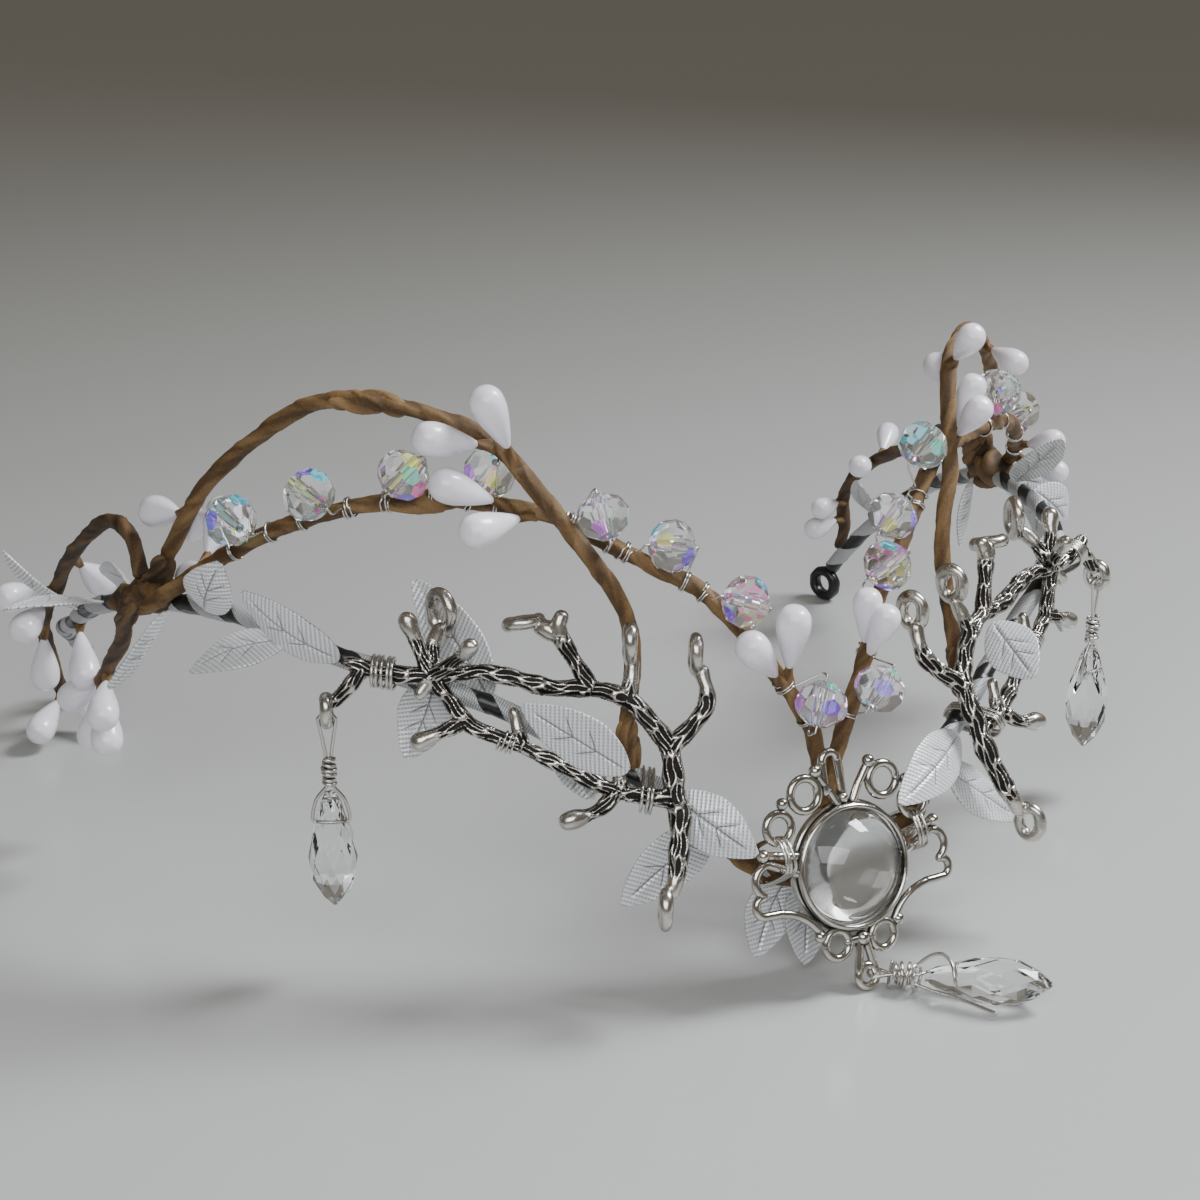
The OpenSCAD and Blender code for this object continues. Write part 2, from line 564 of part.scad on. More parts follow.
// Bail hanging along -Z from the middle of the ring wire that it goes round
module bail(neck, tail) {
    top = -neck;
    end = top - barrel_l;
    hole = end - stone_gap - stone_hole_down;
    rotate([90, 0, 0])
        bend([0, 0, 0], bail_eye_r, 0, 180, tie_r);
    for (s = [-1, 1]) {
        rod([s * bail_eye_r, 0, 0], [s * 0.45, 0, top], tie_r);
        rod([s * 0.6, 0, end + 0.2], [s * 2.2, 0, end - 2], tie_r);
        rod([s * 2.2, 0, end - 2], [s * bail_leg_x, 0, hole], tie_r);
    }
    rod([-bail_leg_x, 0, hole], [bail_leg_x, 0, hole], tie_r);
    if (tail > 0)
        rod([-bail_leg_x, 0, hole], [-bail_leg_x - 2, 0, hole - tail], tie_r);
    translate([0, 0, end])
        cylinder(h = barrel_l, r = 0.95, $fn = 24);
    for (i = [0 : 5])
        translate([0, 0, end + 0.4 + i * 0.84])
            rotate_extrude($fn = 32)
                translate([1, 0])
                    circle(r = 0.4, $fn = 24);
}

// Briolette with its point up, drilled across for the bail
module stone(neck) {
    top = -neck - barrel_l - stone_gap;
    color("#e4eaf0")
        translate([0, 0, top])
            difference() {
                rotate_extrude($fn = 10)
                    polygon([[0, 0], [0.5, 0], [1.4, -2], [2.3, -5], [drop_d * 0.43, -8.5],
                        [drop_d / 2, -12], [drop_d * 0.44, -15.2], [drop_d * 0.24, -18.4],
                        [0.4, -drop_l], [0, -drop_l]]);
                translate([-drop_d, 0, -stone_hole_down])
                    rotate([0, 90, 0])
                        cylinder(h = 2 * drop_d, r = stone_hole_r, $fn = 24);
            }
}

// Ring wire that a hanging drop goes round, and the way the drop faces
module hang(side) {
    up = [0, 0, 1];
    translate(charm_spot(side, drop_ring) - up * ring_mid_r)
        rotate([0, 0, side * charm_turn[pick(side)]])
            children();
}

// The front drop lies on the table, its eye round the side of the pendant's lowest ring
module lying() {
    ring = spot([0, pendant_h, pendant_out]) - unit([0, lean, 1]) * 18;
    translate(ring + [ring_eye_x, 0, 0])
        rotate([0, 0, front_drop_turn])
            rotate([0, -front_drop_rise, 0])
                rotate([0, -90, 0])
                    rotate([0, 0, 90])
                        children();
}
ring_eye_x = 1.7;

module bail_hung(side) {
    color("#b8b8ba")
        hang(side)
            bail(neck_hanging, 0);
}

module stone_hung(side) {
    hang(side)
        stone(neck_hanging);
}

module bail_front() {
    color("#b8b8ba")
        lying()
            bail(neck_front, 5.5);
}

module stone_front() {
    lying()
        stone(neck_front);
}

band();
band_loop(loop_left);  // band_loop_left
band_loop(loop_right);  // band_loop_right
vine(front_left_rows);  // vine_front_left
vine(front_right_rows);  // vine_front_right
vine(arch_left_rows);  // vine_arch_left
vine(arch_right_rows);  // vine_arch_right
vine(rear_left_rows);  // vine_rear_left
vine(rear_right_rows);  // vine_rear_right
vine(low_left_rows);  // vine_low_left
pendant_setting();
cabochon();
pendant_ties();
charm(-1);  // charm_left
charm(1);  // charm_right
charm_ties(-1);  // charm_ties_left
charm_ties(1);  // charm_ties_right
bail_hung(-1);  // bail_left
bail_hung(1);  // bail_right
bail_front();
stone_hung(-1);  // stone_left
stone_hung(1);  // stone_right
stone_front();
bead_on(left_beads[0], front_left_points);  // bead_left_1
bead_on(left_beads[1], front_left_points);  // bead_left_2
bead_on(left_beads[2], front_left_points);  // bead_left_3
bead_on(left_beads[3], front_left_points);  // bead_left_4
bead_on(left_beads[4], front_left_points);  // bead_left_5
bead_on(left_beads[5], front_left_points);  // bead_left_6
bead_on(left_beads[6], front_left_points);  // bead_left_7
bead_on(left_beads[7], front_left_points);  // bead_left_8
bead_on(right_beads[0], front_right_points);  // bead_right_1
bead_on(right_beads[1], front_right_points);  // bead_right_2
bead_on(right_beads[2], front_right_points);  // bead_right_3
bead_on(right_beads[3], front_right_points);  // bead_right_4
bead_on(right_beads[4], front_right_points);  // bead_right_5
bead_on(right_beads[5], front_right_points);  // bead_right_6
for (r = left_beads) bead_thread(r, front_left_points);  // bead_wires_left
for (r = right_beads) bead_thread(r, front_right_points);  // bead_wires_right
berries(front_left_berries);  // berries_front_left
berries(arch_left_berries);  // berries_arch_left
berries(mid_left_berries);  // berries_mid_left
berries(knot_left_berries);  // berries_knot_left
berries(low_left_berries);  // berries_low_left
berries(end_left_berries);  // berries_end_left
berries(front_right_berries, far_size);  // berries_front_right
berries(arch_right_berries, far_size);  // berries_arch_right
berries(knot_right_berries, far_size);  // berries_knot_right
berries(end_right_berries, far_size);  // berries_end_right
leaves(front_left_leaves);  // leaves_front_left
leaves(low_left_leaves);  // leaves_low_left
leaves(charm_left_leaves);  // leaves_charm_left
leaves(side_left_leaves);  // leaves_side_left
leaves(knot_left_leaves);  // leaves_knot_left
leaves(end_left_leaves);  // leaves_end_left
leaves(front_right_leaves);  // leaves_front_right
leaves(charm_right_leaves);  // leaves_charm_right
leaves(side_right_leaves);  // leaves_side_right
leaves(knot_right_leaves);  // leaves_knot_right
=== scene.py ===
import math
import bmesh
import bpy
import numpy as np
from mathutils import Matrix, Vector
from mathutils.bvhtree import BVHTree
from mathutils.kdtree import KDTree


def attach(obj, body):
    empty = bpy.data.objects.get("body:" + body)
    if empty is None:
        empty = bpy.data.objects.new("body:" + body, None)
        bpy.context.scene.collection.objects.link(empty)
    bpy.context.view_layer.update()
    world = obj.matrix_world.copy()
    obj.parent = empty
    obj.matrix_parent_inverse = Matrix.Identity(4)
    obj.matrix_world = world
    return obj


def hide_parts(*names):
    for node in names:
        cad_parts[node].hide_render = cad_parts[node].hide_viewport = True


# Fairy crown: paper-wrapped vines, ribbon leaves, lacquered berries, cut crystal beads, two cast
# twigs, a framed cabochon and three crystal drops. Shapes are worked out in millimetres.
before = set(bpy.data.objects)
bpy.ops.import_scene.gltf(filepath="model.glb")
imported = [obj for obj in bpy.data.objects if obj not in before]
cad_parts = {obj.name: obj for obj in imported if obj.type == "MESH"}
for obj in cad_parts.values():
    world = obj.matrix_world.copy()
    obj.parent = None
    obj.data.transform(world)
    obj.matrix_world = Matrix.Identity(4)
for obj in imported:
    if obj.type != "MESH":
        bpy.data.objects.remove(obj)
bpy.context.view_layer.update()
MM = 0.001

# ---- sizes, as in the solid part
HEAD_HALF_W, HEAD_HALF_D, LEAN = 92.0, 108.0, 0.33
CENTRE_X, CENTRE_Y = -4.3, 76.4
BAND_R, VINE_R, THREAD_R, FILIGREE_R, TIE_R = 1.5, 1.25, 0.25, 0.7, 0.3
BEAD_D, BEAD_L, CAB_D, CAB_H, CAB_SEAT = 8.0, 7.0, 18.0, 5.0, -0.4
BERRY_D, BERRY_L, LEAF_W, LEAF_T, SEAT = 5.5, 11.5, 8.8, 1.0, 0.3

# Millimetres between the points of a fine route, and within which two vertices become one
FINE, WELD = 0.4, 0.0005

# Routes in crown places: turn from the front in degrees, height, distance outside the oval
BAND = [
    [-120.5, 14, -1], [-117, 18, -1.6], [-108, 25, -2.4], [-98, 32, -1.8], [-91, 37, -1.2],
    [-85, 42.5, -0.5], [-78, 48, 0], [-72, 51.5, 0], [-66.5, 54, 0.5], [-61, 55.5, 1.5],
    [-56.5, 56.3, 2.5], [-51, 55.2, 2.8], [-46, 52.8, 2], [-41, 50.3, -0.4], [-34, 46.5, -3],
    [-27, 41, -4], [-20, 34.5, -5], [-16, 31, -4.6], [-11, 22.5, -4.5], [-6, 18, -4.5],
    [0, 17, -4.5], [6, 18, -4.5], [11, 22.5, -4.2], [16, 30.5, -3.4], [20, 33.5, -3.2],
    [27, 38.5, -2.4], [34, 43, -0.4], [39, 46, 2], [44, 47.8, 4], [51, 48.6, 4], [57, 48.5, 2.6],
    [63, 47.8, 1.4], [68, 47, 0.8], [72.5, 46, 0], [77, 43.6, 0], [81, 40.8, 0], [85, 38, 0],
    [89.5, 34, 0], [95, 28, 0], [101, 20, 0], [105, 14, 0], [108.5, 7.9, 0]]
LOOPS = {"left": [-122, 9.4, -1], "right": [110, 3.9, 0]}
VINES = {
    "front_left": [
        [-1, 20, -4.5], [-1, 27, -4.3], [-1, 34, -3.7], [-1.5, 40, -2.8], [-3.5, 46, -1.8],
        [-7, 55, -2], [-11, 62.5, -3.7], [-15, 66, -4.6], [-19, 69.5, -5], [-25, 74.5, -4.7],
        [-34, 77, -3], [-42, 76, -0.8], [-50, 71.8, 1.5], [-58, 64.4, 2.3], [-62, 60, 2.7],
        [-65, 56.5, 3.1], [-68, 53, 3.6]],
    "front_right": [
        [1, 20, -4.5], [1, 27, -4.5], [1, 33, -4.2], [2, 37, -3.5], [4, 44, -2.2], [7, 51, -2.4],
        [10, 57, -3.6], [14, 61.5, -4.6], [17, 65, -5], [20.5, 70, -5], [24, 73, -5],
        [30, 73.8, -4.8], [36, 72.8, -4.5], [43, 71, -3.5], [50, 68, -2], [57, 63.3, -0.5],
        [62, 59, 1], [66, 55, 2.3], [70, 50.5, 3.2], [72.5, 48, 3.3]],
    "arch_left": [
        [-21, 38.4, -5], [-20.6, 43, -6], [-19.4, 49, -7], [-19, 53, -7.4], [-18.9, 58, -6.8],
        [-20.1, 63.5, -4.6], [-22, 69.5, -1.9], [-25, 77, -2], [-29, 85, -2.8], [-33, 88.8, -2.4],
        [-40, 91.5, -1], [-46, 90.3, -0.5], [-52, 84.5, 0], [-58.5, 76, 0.4], [-62.5, 68.5, 0.4],
        [-66, 62, -0.3], [-69, 57, -1.6], [-71.5, 53, -3.1]],
    "arch_right": [
        [22.5, 38.5, -4.4], [21.5, 50, -4], [21, 58, -3.4], [21.5, 65, -2.6], [23, 71, -1.8],
        [25, 78.5, -2.4], [27.5, 85.5, -3.2], [31, 88.5, -4], [38, 88.5, -5], [46, 85, -5.6],
        [54, 79.5, -4.6], [61, 73, -2.4], [65, 65.5, -0.8], [69, 58, -1.4], [72, 52.5, -2.4],
        [74, 48.3, -3.2]],
    "rear_left": [
        [-70, 56.8, 1.1], [-70.8, 59.3, 0.2], [-72.5, 61.4, -1], [-75.5, 62, -2], [-78.5, 60.6, -2],
        [-82, 57.2, -2], [-86.5, 52, -1.5], [-91.5, 45.6, -1], [-95, 40.5, -0.5], [-99, 35.5, 0.6],
        [-104, 29.5, 1.4], [-109, 23, 1.9], [-112, 17.5, 2], [-114, 12, 2], [-116.5, 7.5, 2]],
    "rear_right": [
        [74.5, 47.8, 1.4], [75, 50, -0.6], [76.5, 51.8, -2.6], [79, 51.6, -3.3], [82, 49.3, -3.5],
        [86, 45.5, -3.6], [92, 40.5, -3.4], [97, 36, -2.8], [102, 30, -1.6], [105.5, 23.5, 1],
        [107, 17, 3], [108.2, 12, 3.2]],
    "low_left": [
        [-71, 52.2, 3.4], [-72.3, 49, 3], [-74, 45.5, 1.8], [-76, 42.3, 1], [-80.7, 35.6, 0],
        [-82.5, 32.3, 0]]}

# Beads: turn, height, distance outside the oval, tilt of the hole in degrees
BEADS = {
    "left": [
        [-2, 46.5, 4.3, 60], [-8, 62.3, 2, -20], [-14, 70.3, -1, 10], [-20.3, 75, -1.2, 85],
        [-31, 79.3, -6.6, 70], [-37.6, 82, 2.2, 80], [-46, 78.8, 5.6, -35], [-54, 72.2, 5.6, -30]],
    "right": [
        [4.6, 46.3, 3.2, 40], [9.8, 61.7, -0.8, 10], [12.5, 69.9, -3, 60], [20, 77.4, -3.2, 30],
        [42, 76.4, -2, 0], [64, 62.2, 3, 20]]}

# Berries: turn, height and distance of the root on a vine, then the same for the round end.
# Those on the right are smaller.
FAR_SIZE = 0.86
BERRIES = {
    "front_left": [[-3.7, 47.5, -1.5, -9, 58, 5.8], [-3.7, 47.5, -1.5, -4, 62, 6]],
    "arch_left": [[-29.3, 85.3, -2.8, -34.5, 89, 7], [-27.5, 82.5, -2.5, -29, 96, 5.5]],
    "mid_left": [[-28.5, 76, -4.3, -34, 82, 5], [-26.5, 75, -4.6, -32, 75, 6]],
    "knot_left": [
        [-62, 69.5, 0.4, -71.5, 65.4, -3], [-60.2, 72.5, 0.4, -71.8, 57.6, -10],
        [-60, 62, 2.5, -61.5, 69, -6.5], [-61, 61, 2.6, -71, 53, -9]],
    "low_left": [
        [-88, 39.8, -0.7, -84, 32, 2], [-81.5, 34, 0, -87, 28, 2], [-81, 35, 0, -76, 31, 6.6],
        [-82.3, 32.6, 0, -78, 22, 5], [-82.3, 32.6, 0, -87, 20, 1]],
    "end_left": [
        [-116.5, 7.5, 2, -109.5, 2.9, 8.2], [-116.3, 8, 1, -114, 3.4, -5],
        [-104, 29.5, 0.5, -108, 14, 3.4], [-95, 40.5, -0.5, -91, 43, 10.2],
        [-98, 36.8, 0, -93, 36, 7], [-88, 50, -1.5, -93, 42, -8]],
    "front_right": [[5, 47, -2.3, 6, 61, 7.8], [5.5, 48.5, -2.4, 5, 61, 3.3]],
    "arch_right": [
        [28.2, 86.5, -3.3, 24, 95, 6], [26.5, 82.5, -2.8, 34, 85, -9.6],
        [54, 79.5, -4.6, 48, 78.5, 2], [28, 73.7, -4.9, 29, 86, 1.4],
        [28, 73.7, -4.9, 25, 83, 4.8]],
    "knot_right": [[66, 55, 2.3, 60, 59, 8], [69, 51.5, 3, 64, 50, 11.3]],
    "end_right": [
        [95, 37.8, -3, 99, 41, 6.6], [97, 36, -2.8, 92, 39, -13.3], [105.5, 23.5, 1, 103, 25, -11.5],
        [106.6, 19, 2.2, 106, 19, -10.9]]}

# Leaves: root turn, height, distance, then the tip's, roll, the band's side that carries it
# (0 where the root stands free) and the bow. Side veins start at these parts of the length.
VEIN_STARTS = (0.30, 0.52)
LEAVES = {
    "front_left": [
        [-18, 31, -4.7, -10.5, 25, 2.5, 0, 1, 1.6], [-5, 18, -4.5, -10, 4, -9, 0, -1, -1.6],
        [-1.5, 17, -4.5, -4.5, 2, -8, 0, -1, -1.6]],
    "low_left": [
        [-13.5, 25.5, -4.5, -24, 14, -8, 0, -1, -1.6], [-26, 40, -4.2, -25.8, 30, -9, 0, -1, -1.6]],
    "charm_left": [
        [-34, 46.5, -3, -41, 62, -9, 0, -1, -1.6], [-39, 49.5, -1.4, -43.5, 36, -4, 0, -1, -1.6],
        [-21.3, 39.2, 3, -30, 48.6, 2.4, 20, 0, 0]],
    "side_left": [
        [-46, 52.8, 2, -52, 64, 11, 27, 1, 1.6], [-50.5, 55, 2.8, -57.6, 50.9, 13.6, -46, 1, 1.6]],
    "knot_left": [
        [-75, 50, 0, -83.5, 49.7, -3.5, 40, -1, -1.6], [-64.3, 54.2, 4.6, -65.3, 45.5, 17, 123, 0, 1],
        [-60, 55.7, 1.8, -55.3, 66.2, 7.6, -26, 1, 1.6]],
    "end_left": [
        [-84, 43.3, -0.4, -80.7, 58, 15, -22, 1, 1.6], [-77, 48.6, 0, -75, 53.6, 21.4, 55, 1, 1.6]],
    "front_right": [
        [17.5, 31.8, -3.3, 5, 28.7, 3.9, -20, 1, 1.6], [14.5, 28.1, -3.6, 22, 17.6, 3.6, 20, 1, 0]],
    "charm_right": [
        [24.8, 47.2, 1, 21.5, 42.3, 10.7, -80, 0, 0], [47.5, 48.3, 4, 47, 33, 3, 15, -1, -1.6]],
    "side_right": [
        [66.5, 47.3, 1, 71.5, 33.7, 7.7, 20, 1, 1.6], [63, 47.8, 1.4, 65, 41.2, 10, -60, 1, 1.6],
        [62.5, 50.6, 0, 56, 61.8, 8.2, -80, 0, 0]],
    "knot_right": [
        [71.3, 45.8, 3, 74.5, 42.2, 12.9, -60, 0, 0], [74, 45.3, 0, 72, 33.2, -8.4, -20, -1, 0],
        [97, 25.4, 0, 94, 35, -11, 0, -1, -1.6]]}

# Cast twigs: where each plate starts across and back, the degrees it runs back, its dip and
# its lean; left is side -1, right is 1
SIDES = ((-1, "left"), (1, "right"))
TWIG_START = {-1: (24, 4), 1: (25.5, 2.5)}
TWIG_TURN = {-1: 26, 1: 24}
TWIG_DIP = {-1: 0, 1: 3}
TWIG_LEAN = 0.36
# Limbs: along the plate, height, distance in front of it, radius
TWIG_LIMBS = [
    [[49.7, 53.8, 0, 1], [44.5, 52.2, 0, 1.25], [37.5, 51.7, 0, 1.35], [33.5, 51.9, 0, 1.1],
     [30, 52.2, 0, 1.2], [25, 51.3, 0, 1.3], [19.5, 49.7, 0, 1.3], [13, 49.5, 0, 1.3],
     [7.7, 48, 0.5, 1.4], [4.8, 44.6, 0.5, 1.4], [2.5, 40.7, 1, 1.5], [2.7, 35, 2.3, 1.6],
     [2.6, 31, 3.5, 1.6], [4.3, 24.5, 5.5, 1.4], [5.5, 22, 6, 1.2]],
    [[37.5, 51.7, 0, 1.2], [33.6, 45.3, 0, 1.2], [31.5, 43.6, 0, 1.2], [25.2, 41.2, 0.5, 1.1],
     [18, 37.6, 1, 1.2], [11.7, 34.8, 1.5, 1.2], [2.8, 33.8, 2.5, 1.4]],
    [[48, 52.8, 0, 1.1], [50.8, 50, 0, 1.2], [53, 48, -0.5, 1]],
    [[2.5, 40.7, 1, 1.4], [-4.2, 46, -1, 1.3], [-4.5, 50.8, -2.1, 1.1]],
    [[7.7, 48, 0.5, 1.2], [6, 52.9, -0.5, 1]],
    [[13, 49.5, 0, 1.2], [16.6, 57.4, 0, 1.2], [16, 60, 0, 0.9]],
    [[16.6, 57.4, 0, 1.2], [19.3, 58.2, -1.3, 1]],
    [[37.5, 51.7, 0, 1.2], [36.6, 55.5, -2, 1.2], [35.3, 57.3, -3.5, 1]],
    [[37.5, 51.7, 0, 1.2], [39.8, 60, 0, 1]],
    [[37.5, 51.7, 0, 1.1], [33, 55.4, 4, 1], [30, 59, 8, 0.9]],
    [[37.5, 51.7, 0, 1.1], [39.7, 49.2, 0.5, 0.9]],
    [[33.6, 44.8, 0, 1.1], [41, 42, 0, 1]],
    [[11.7, 34.8, 1.5, 1.1], [15, 32.4, 2.5, 1.1], [20, 31.3, 3.5, 1]],
    [[10.6, 34.5, 1.6, 1], [11.3, 39, 1, 0.9]],
    [[25.2, 41.2, 0.5, 1.1], [25.7, 46, 0, 0.9]]]
# Limbs whose free end swells to a bud, and limbs whose end keeps its bark
BUD_ENDS, ROUGH_ENDS = (5, 6, 8, 9, 11, 12), (1, 2)
# Rings that the tips curl into: along, height, distance, and 1 where the ring lies flat
TWIG_RINGS = [[-4, 53.4, -2.5, 0], [6, 55.8, -0.6, 0], [22, 58.6, -2.3, 1], [34.7, 59.6, -4.4, 0],
              [7, 19.6, 7, 0]]
RING_MID_R, RING_WIRE_R = 1.75, 0.75
DROP_RING = [54.7, 46.4, -1, 0]
# A ring above this height is a big one that faces more to the front
BIG_RING_FROM = 59
# Size of the skin's cells, length of a cell of bark, cells round a limb, depth of a cell
SKIN_CELL, BARK_L, BARK_MANY, BARK_DEEP = 0.19, 4.2, 10, 0.36
# Bindings of a plate to the band: along, height, distance, turns of wire
TWIG_BINDINGS = [[45, 52.2, 0, 5], [7.2, 34, 2, 3]]

# Pendant: the crown place of its tray's middle, and its turn in the wall
PENDANT = [0, 19.42, -0.1]
PENDANT_ROLL = -2

# Drops: the wire's eye, its wound length, the way down to the stone and to the hole in it,
# half the width between its legs; the neck above the winding, and how the front drop lies
EYE_R, BARREL_L, STONE_GAP, STONE_HOLE_DOWN, LEG_X = 1.35, 5.0, 0.7, 5.2, 2.95
NECK_HANGING, NECK_FRONT, FRONT_TURN, FRONT_RISE = 6.5, 2.2, -44, 4.8


# ---- places and routes
def unit(v):
    v = np.asarray(v, float)
    return v / np.linalg.norm(v)


def wall_out(turn):
    a = math.radians(turn)
    return unit([HEAD_HALF_D * math.sin(a), -HEAD_HALF_W * math.cos(a)])


def spot(place):
    """Crown place to millimetres."""
    a, h, o = math.radians(place[0]), place[1], place[2]
    n = wall_out(place[0])
    return np.array([HEAD_HALF_W * math.sin(a) + o * n[0] - CENTRE_X,
                     HEAD_HALF_D * (1 - math.cos(a)) + o * n[1] + LEAN * h - CENTRE_Y, h])


def curve(rows, steps):
    """Smooth curve through the rows of a table."""
    rows = np.asarray(rows, float)
    last = len(rows) - 1
    out = []
    for i in range(last):
        a, b, c, d = rows[max(i - 1, 0)], rows[i], rows[i + 1], rows[min(i + 2, last)]
        for k in range(steps):
            t = k / steps
            out.append(0.5 * (2 * b + (c - a) * t + (2 * a - 5 * b + 4 * c - d) * t * t
                              + (3 * b - a - 3 * c + d) * t ** 3))
    return np.array(out + [rows[last]])


def spots(rows, steps=2):
    return np.array([spot(p) for p in curve(rows, steps)])


def along(points):
    return np.r_[0, np.cumsum(np.linalg.norm(np.diff(points[:, :3], axis=0), axis=1))]


def evenly(points, step):
    """The same route with its points a step apart."""
    points = np.asarray(points, float)
    s = along(points)
    t = np.linspace(0, s[-1], max(3, round(s[-1] / step) + 1))
    return np.stack([np.interp(t, s, column) for column in points.T], 1)


def near(points, p):
    """Nearest place on a wire, and the wire's direction there."""
    a, b = points[:-1], points[1:]
    ab = b - a
    t = np.clip(((p - a) * ab).sum(1) / (ab * ab).sum(1), 0, 1)
    feet = a + t[:, None] * ab
    i = np.linalg.norm(feet - p, axis=1).argmin()
    return feet[i], unit(ab[i])


def ways(points):
    """The way along a route, and two ways across it that turn as little as they can."""
    ahead = np.gradient(points, axis=0)
    ahead /= np.linalg.norm(ahead, axis=1)[:, None]
    first = np.cross(ahead[0], [0, 0, 1] if abs(ahead[0][2]) < 0.9 else [1, 0, 0])
    across = [unit(first)]
    for way in ahead[1:]:
        across.append(unit(across[-1] - way * (across[-1] @ way)))
    across = np.array(across)
    return ahead, across, np.cross(ahead, across)


band_route = spots(BAND)
vine_routes = {name: spots(rows) for name, rows in VINES.items()}
stems = [band_route] + list(vine_routes.values())


# ---- shaping
def new_form(*marks):
    form = bmesh.new()
    form.loops.layers.uv.new("wrap")
    for name in marks:
        form.verts.layers.float.new(name)
    return form


def mark(form, name):
    return form.verts.layers.float.get(name) or form.verts.layers.float.new(name)


def tube(form, points, width, around=12, marks=None, blunt=1.0):
    """Wraps a grid round a route and closes its ends with domes. width is a radius, a list of
    radii or a function of the millimetres along and the angle round."""
    points = np.asarray(points, float)
    ahead, across, up = ways(points)
    s = along(points)
    last = len(points) - 1
    dome = [(math.cos(math.radians(a)), math.sin(math.radians(a))) for a in (0, 30, 60)]
    rows = [(0, -rise, wide) for rise, wide in dome] + [(i, 0, 1) for i in range(last + 1)]
    rows += [(last, rise, wide) for rise, wide in dome[::-1]]
    at, lift, scale = (np.array(column) for column in zip(*rows))
    rings = len(at)
    verts = bmesh.ops.create_grid(form, x_segments=rings - 1, y_segments=around, size=0.5)["verts"]
    co = np.array([v.co[:2] for v in verts]) + 0.5
    row = np.rint(co[:, 0] * (rings - 1)).astype(int)
    turn = co[:, 1] * 2 * math.pi
    i = at[row]
    if callable(width):
        r = width(s[i], turn)
    elif np.ndim(width):
        r = np.asarray(width)[i]
    else:
        r = np.full(len(i), float(width))
    end_r = np.where(lift[row] < 0, r.min() if callable(width) else r, r)
    place = (points[i] + ahead[i] * (lift[row] * end_r * blunt)[:, None]
             + (scale[row] * r)[:, None] * (np.cos(turn)[:, None] * across[i]
                                            + np.sin(turn)[:, None] * up[i]))
    for pole in (row == 0, row == rings - 1):
        place[pole] = place[pole].mean(0)
    wrap = form.loops.layers.uv["wrap"]
    for k, v in enumerate(verts):
        for loop in v.link_loops:
            loop[wrap].uv = (s[i[k]] / 10, co[k, 1])
    for name, function in (marks or {}).items():
        layer = mark(form, name)
        for v, value in zip(verts, np.broadcast_to(function(s[i], turn), len(i))):
            v[layer] = value
    for v, p in zip(verts, place):
        v.co = p
    bmesh.ops.remove_doubles(form, verts=verts, dist=WELD)


def lathe(form, profile, matrix, steps=32):
    """Turns a profile of radius and height round Z."""
    known = set(form.verts)
    verts = [form.verts.new((r, 0, z)) for r, z in profile]
    edges = [form.edges.new(pair) for pair in zip(verts, verts[1:])]
    bmesh.ops.spin(form, geom=verts + edges, cent=(0, 0, 0), axis=(0, 0, 1), dvec=(0, 0, 0),
                   angle=2 * math.pi, steps=steps, use_merge=True, use_duplicate=False)
    bmesh.ops.remove_doubles(form, verts=[v for v in form.verts if v not in known], dist=WELD)
    bmesh.ops.transform(form, matrix=matrix, verts=[v for v in form.verts if v not in known])


def ball(form, middle, radius, detail=3):
    bmesh.ops.create_icosphere(form, subdivisions=detail, radius=radius,
                               matrix=Matrix.Translation(middle))


def aim(point, way):
    """Matrix that takes Z to a way, at a point."""
    turned = Vector(way).to_track_quat("Z", "Y").to_matrix().to_4x4()
    return Matrix.Translation(Vector(point)) @ turned


def mark_pocket_shade(form, reach=1.2):
    """Marks each vertex with the share of ten ways out of it that meet the form again; the finishes
    darken by this share, as painted shade.
    """
    bmesh.ops.recalc_face_normals(form, faces=form.faces)
    form.normal_update()
    tree = BVHTree.FromBMesh(form)
    layer = mark(form, "pocket")
    fan = [(0.35, 0.94, k * 60) for k in range(6)] + [(0.8, 0.6, 30 + k * 90) for k in range(4)]
    fan = [(rise, reach_out * math.cos(math.radians(a)), reach_out * math.sin(math.radians(a)))
           for rise, reach_out, a in fan]
    for v in form.verts:
        n = v.normal
        a = n.orthogonal().normalized()
        b = n.cross(a)
        start = v.co + n * 0.03
        v[layer] = sum(tree.ray_cast(start, n * z + a * x + b * y, reach)[0] is not None
                       for z, x, y in fan) / len(fan)


def as_mesh(name, form):
    mesh = bpy.data.meshes.new(name)
    form.to_mesh(mesh)
    form.free()
    return mesh


def placed(name, data):
    """A new object of this data, in the scene."""
    made = bpy.data.objects.new(name, data)
    bpy.context.scene.collection.objects.link(made)
    return made


def piece(name, form, finish, slot, *nodes, body="crown", smooth=True):
    """Makes the form an object that rides on a body and stands for its solids."""
    bmesh.ops.recalc_face_normals(form, faces=form.faces)
    bmesh.ops.scale(form, vec=(MM, MM, MM), verts=form.verts)
    mesh = as_mesh(name, form)
    mesh.polygons.foreach_set("use_smooth", [smooth] * len(mesh.polygons))
    mesh.materials.append(finish)
    made = placed(name, mesh)
    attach(made, body)
    if nodes:
        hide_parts(*nodes)


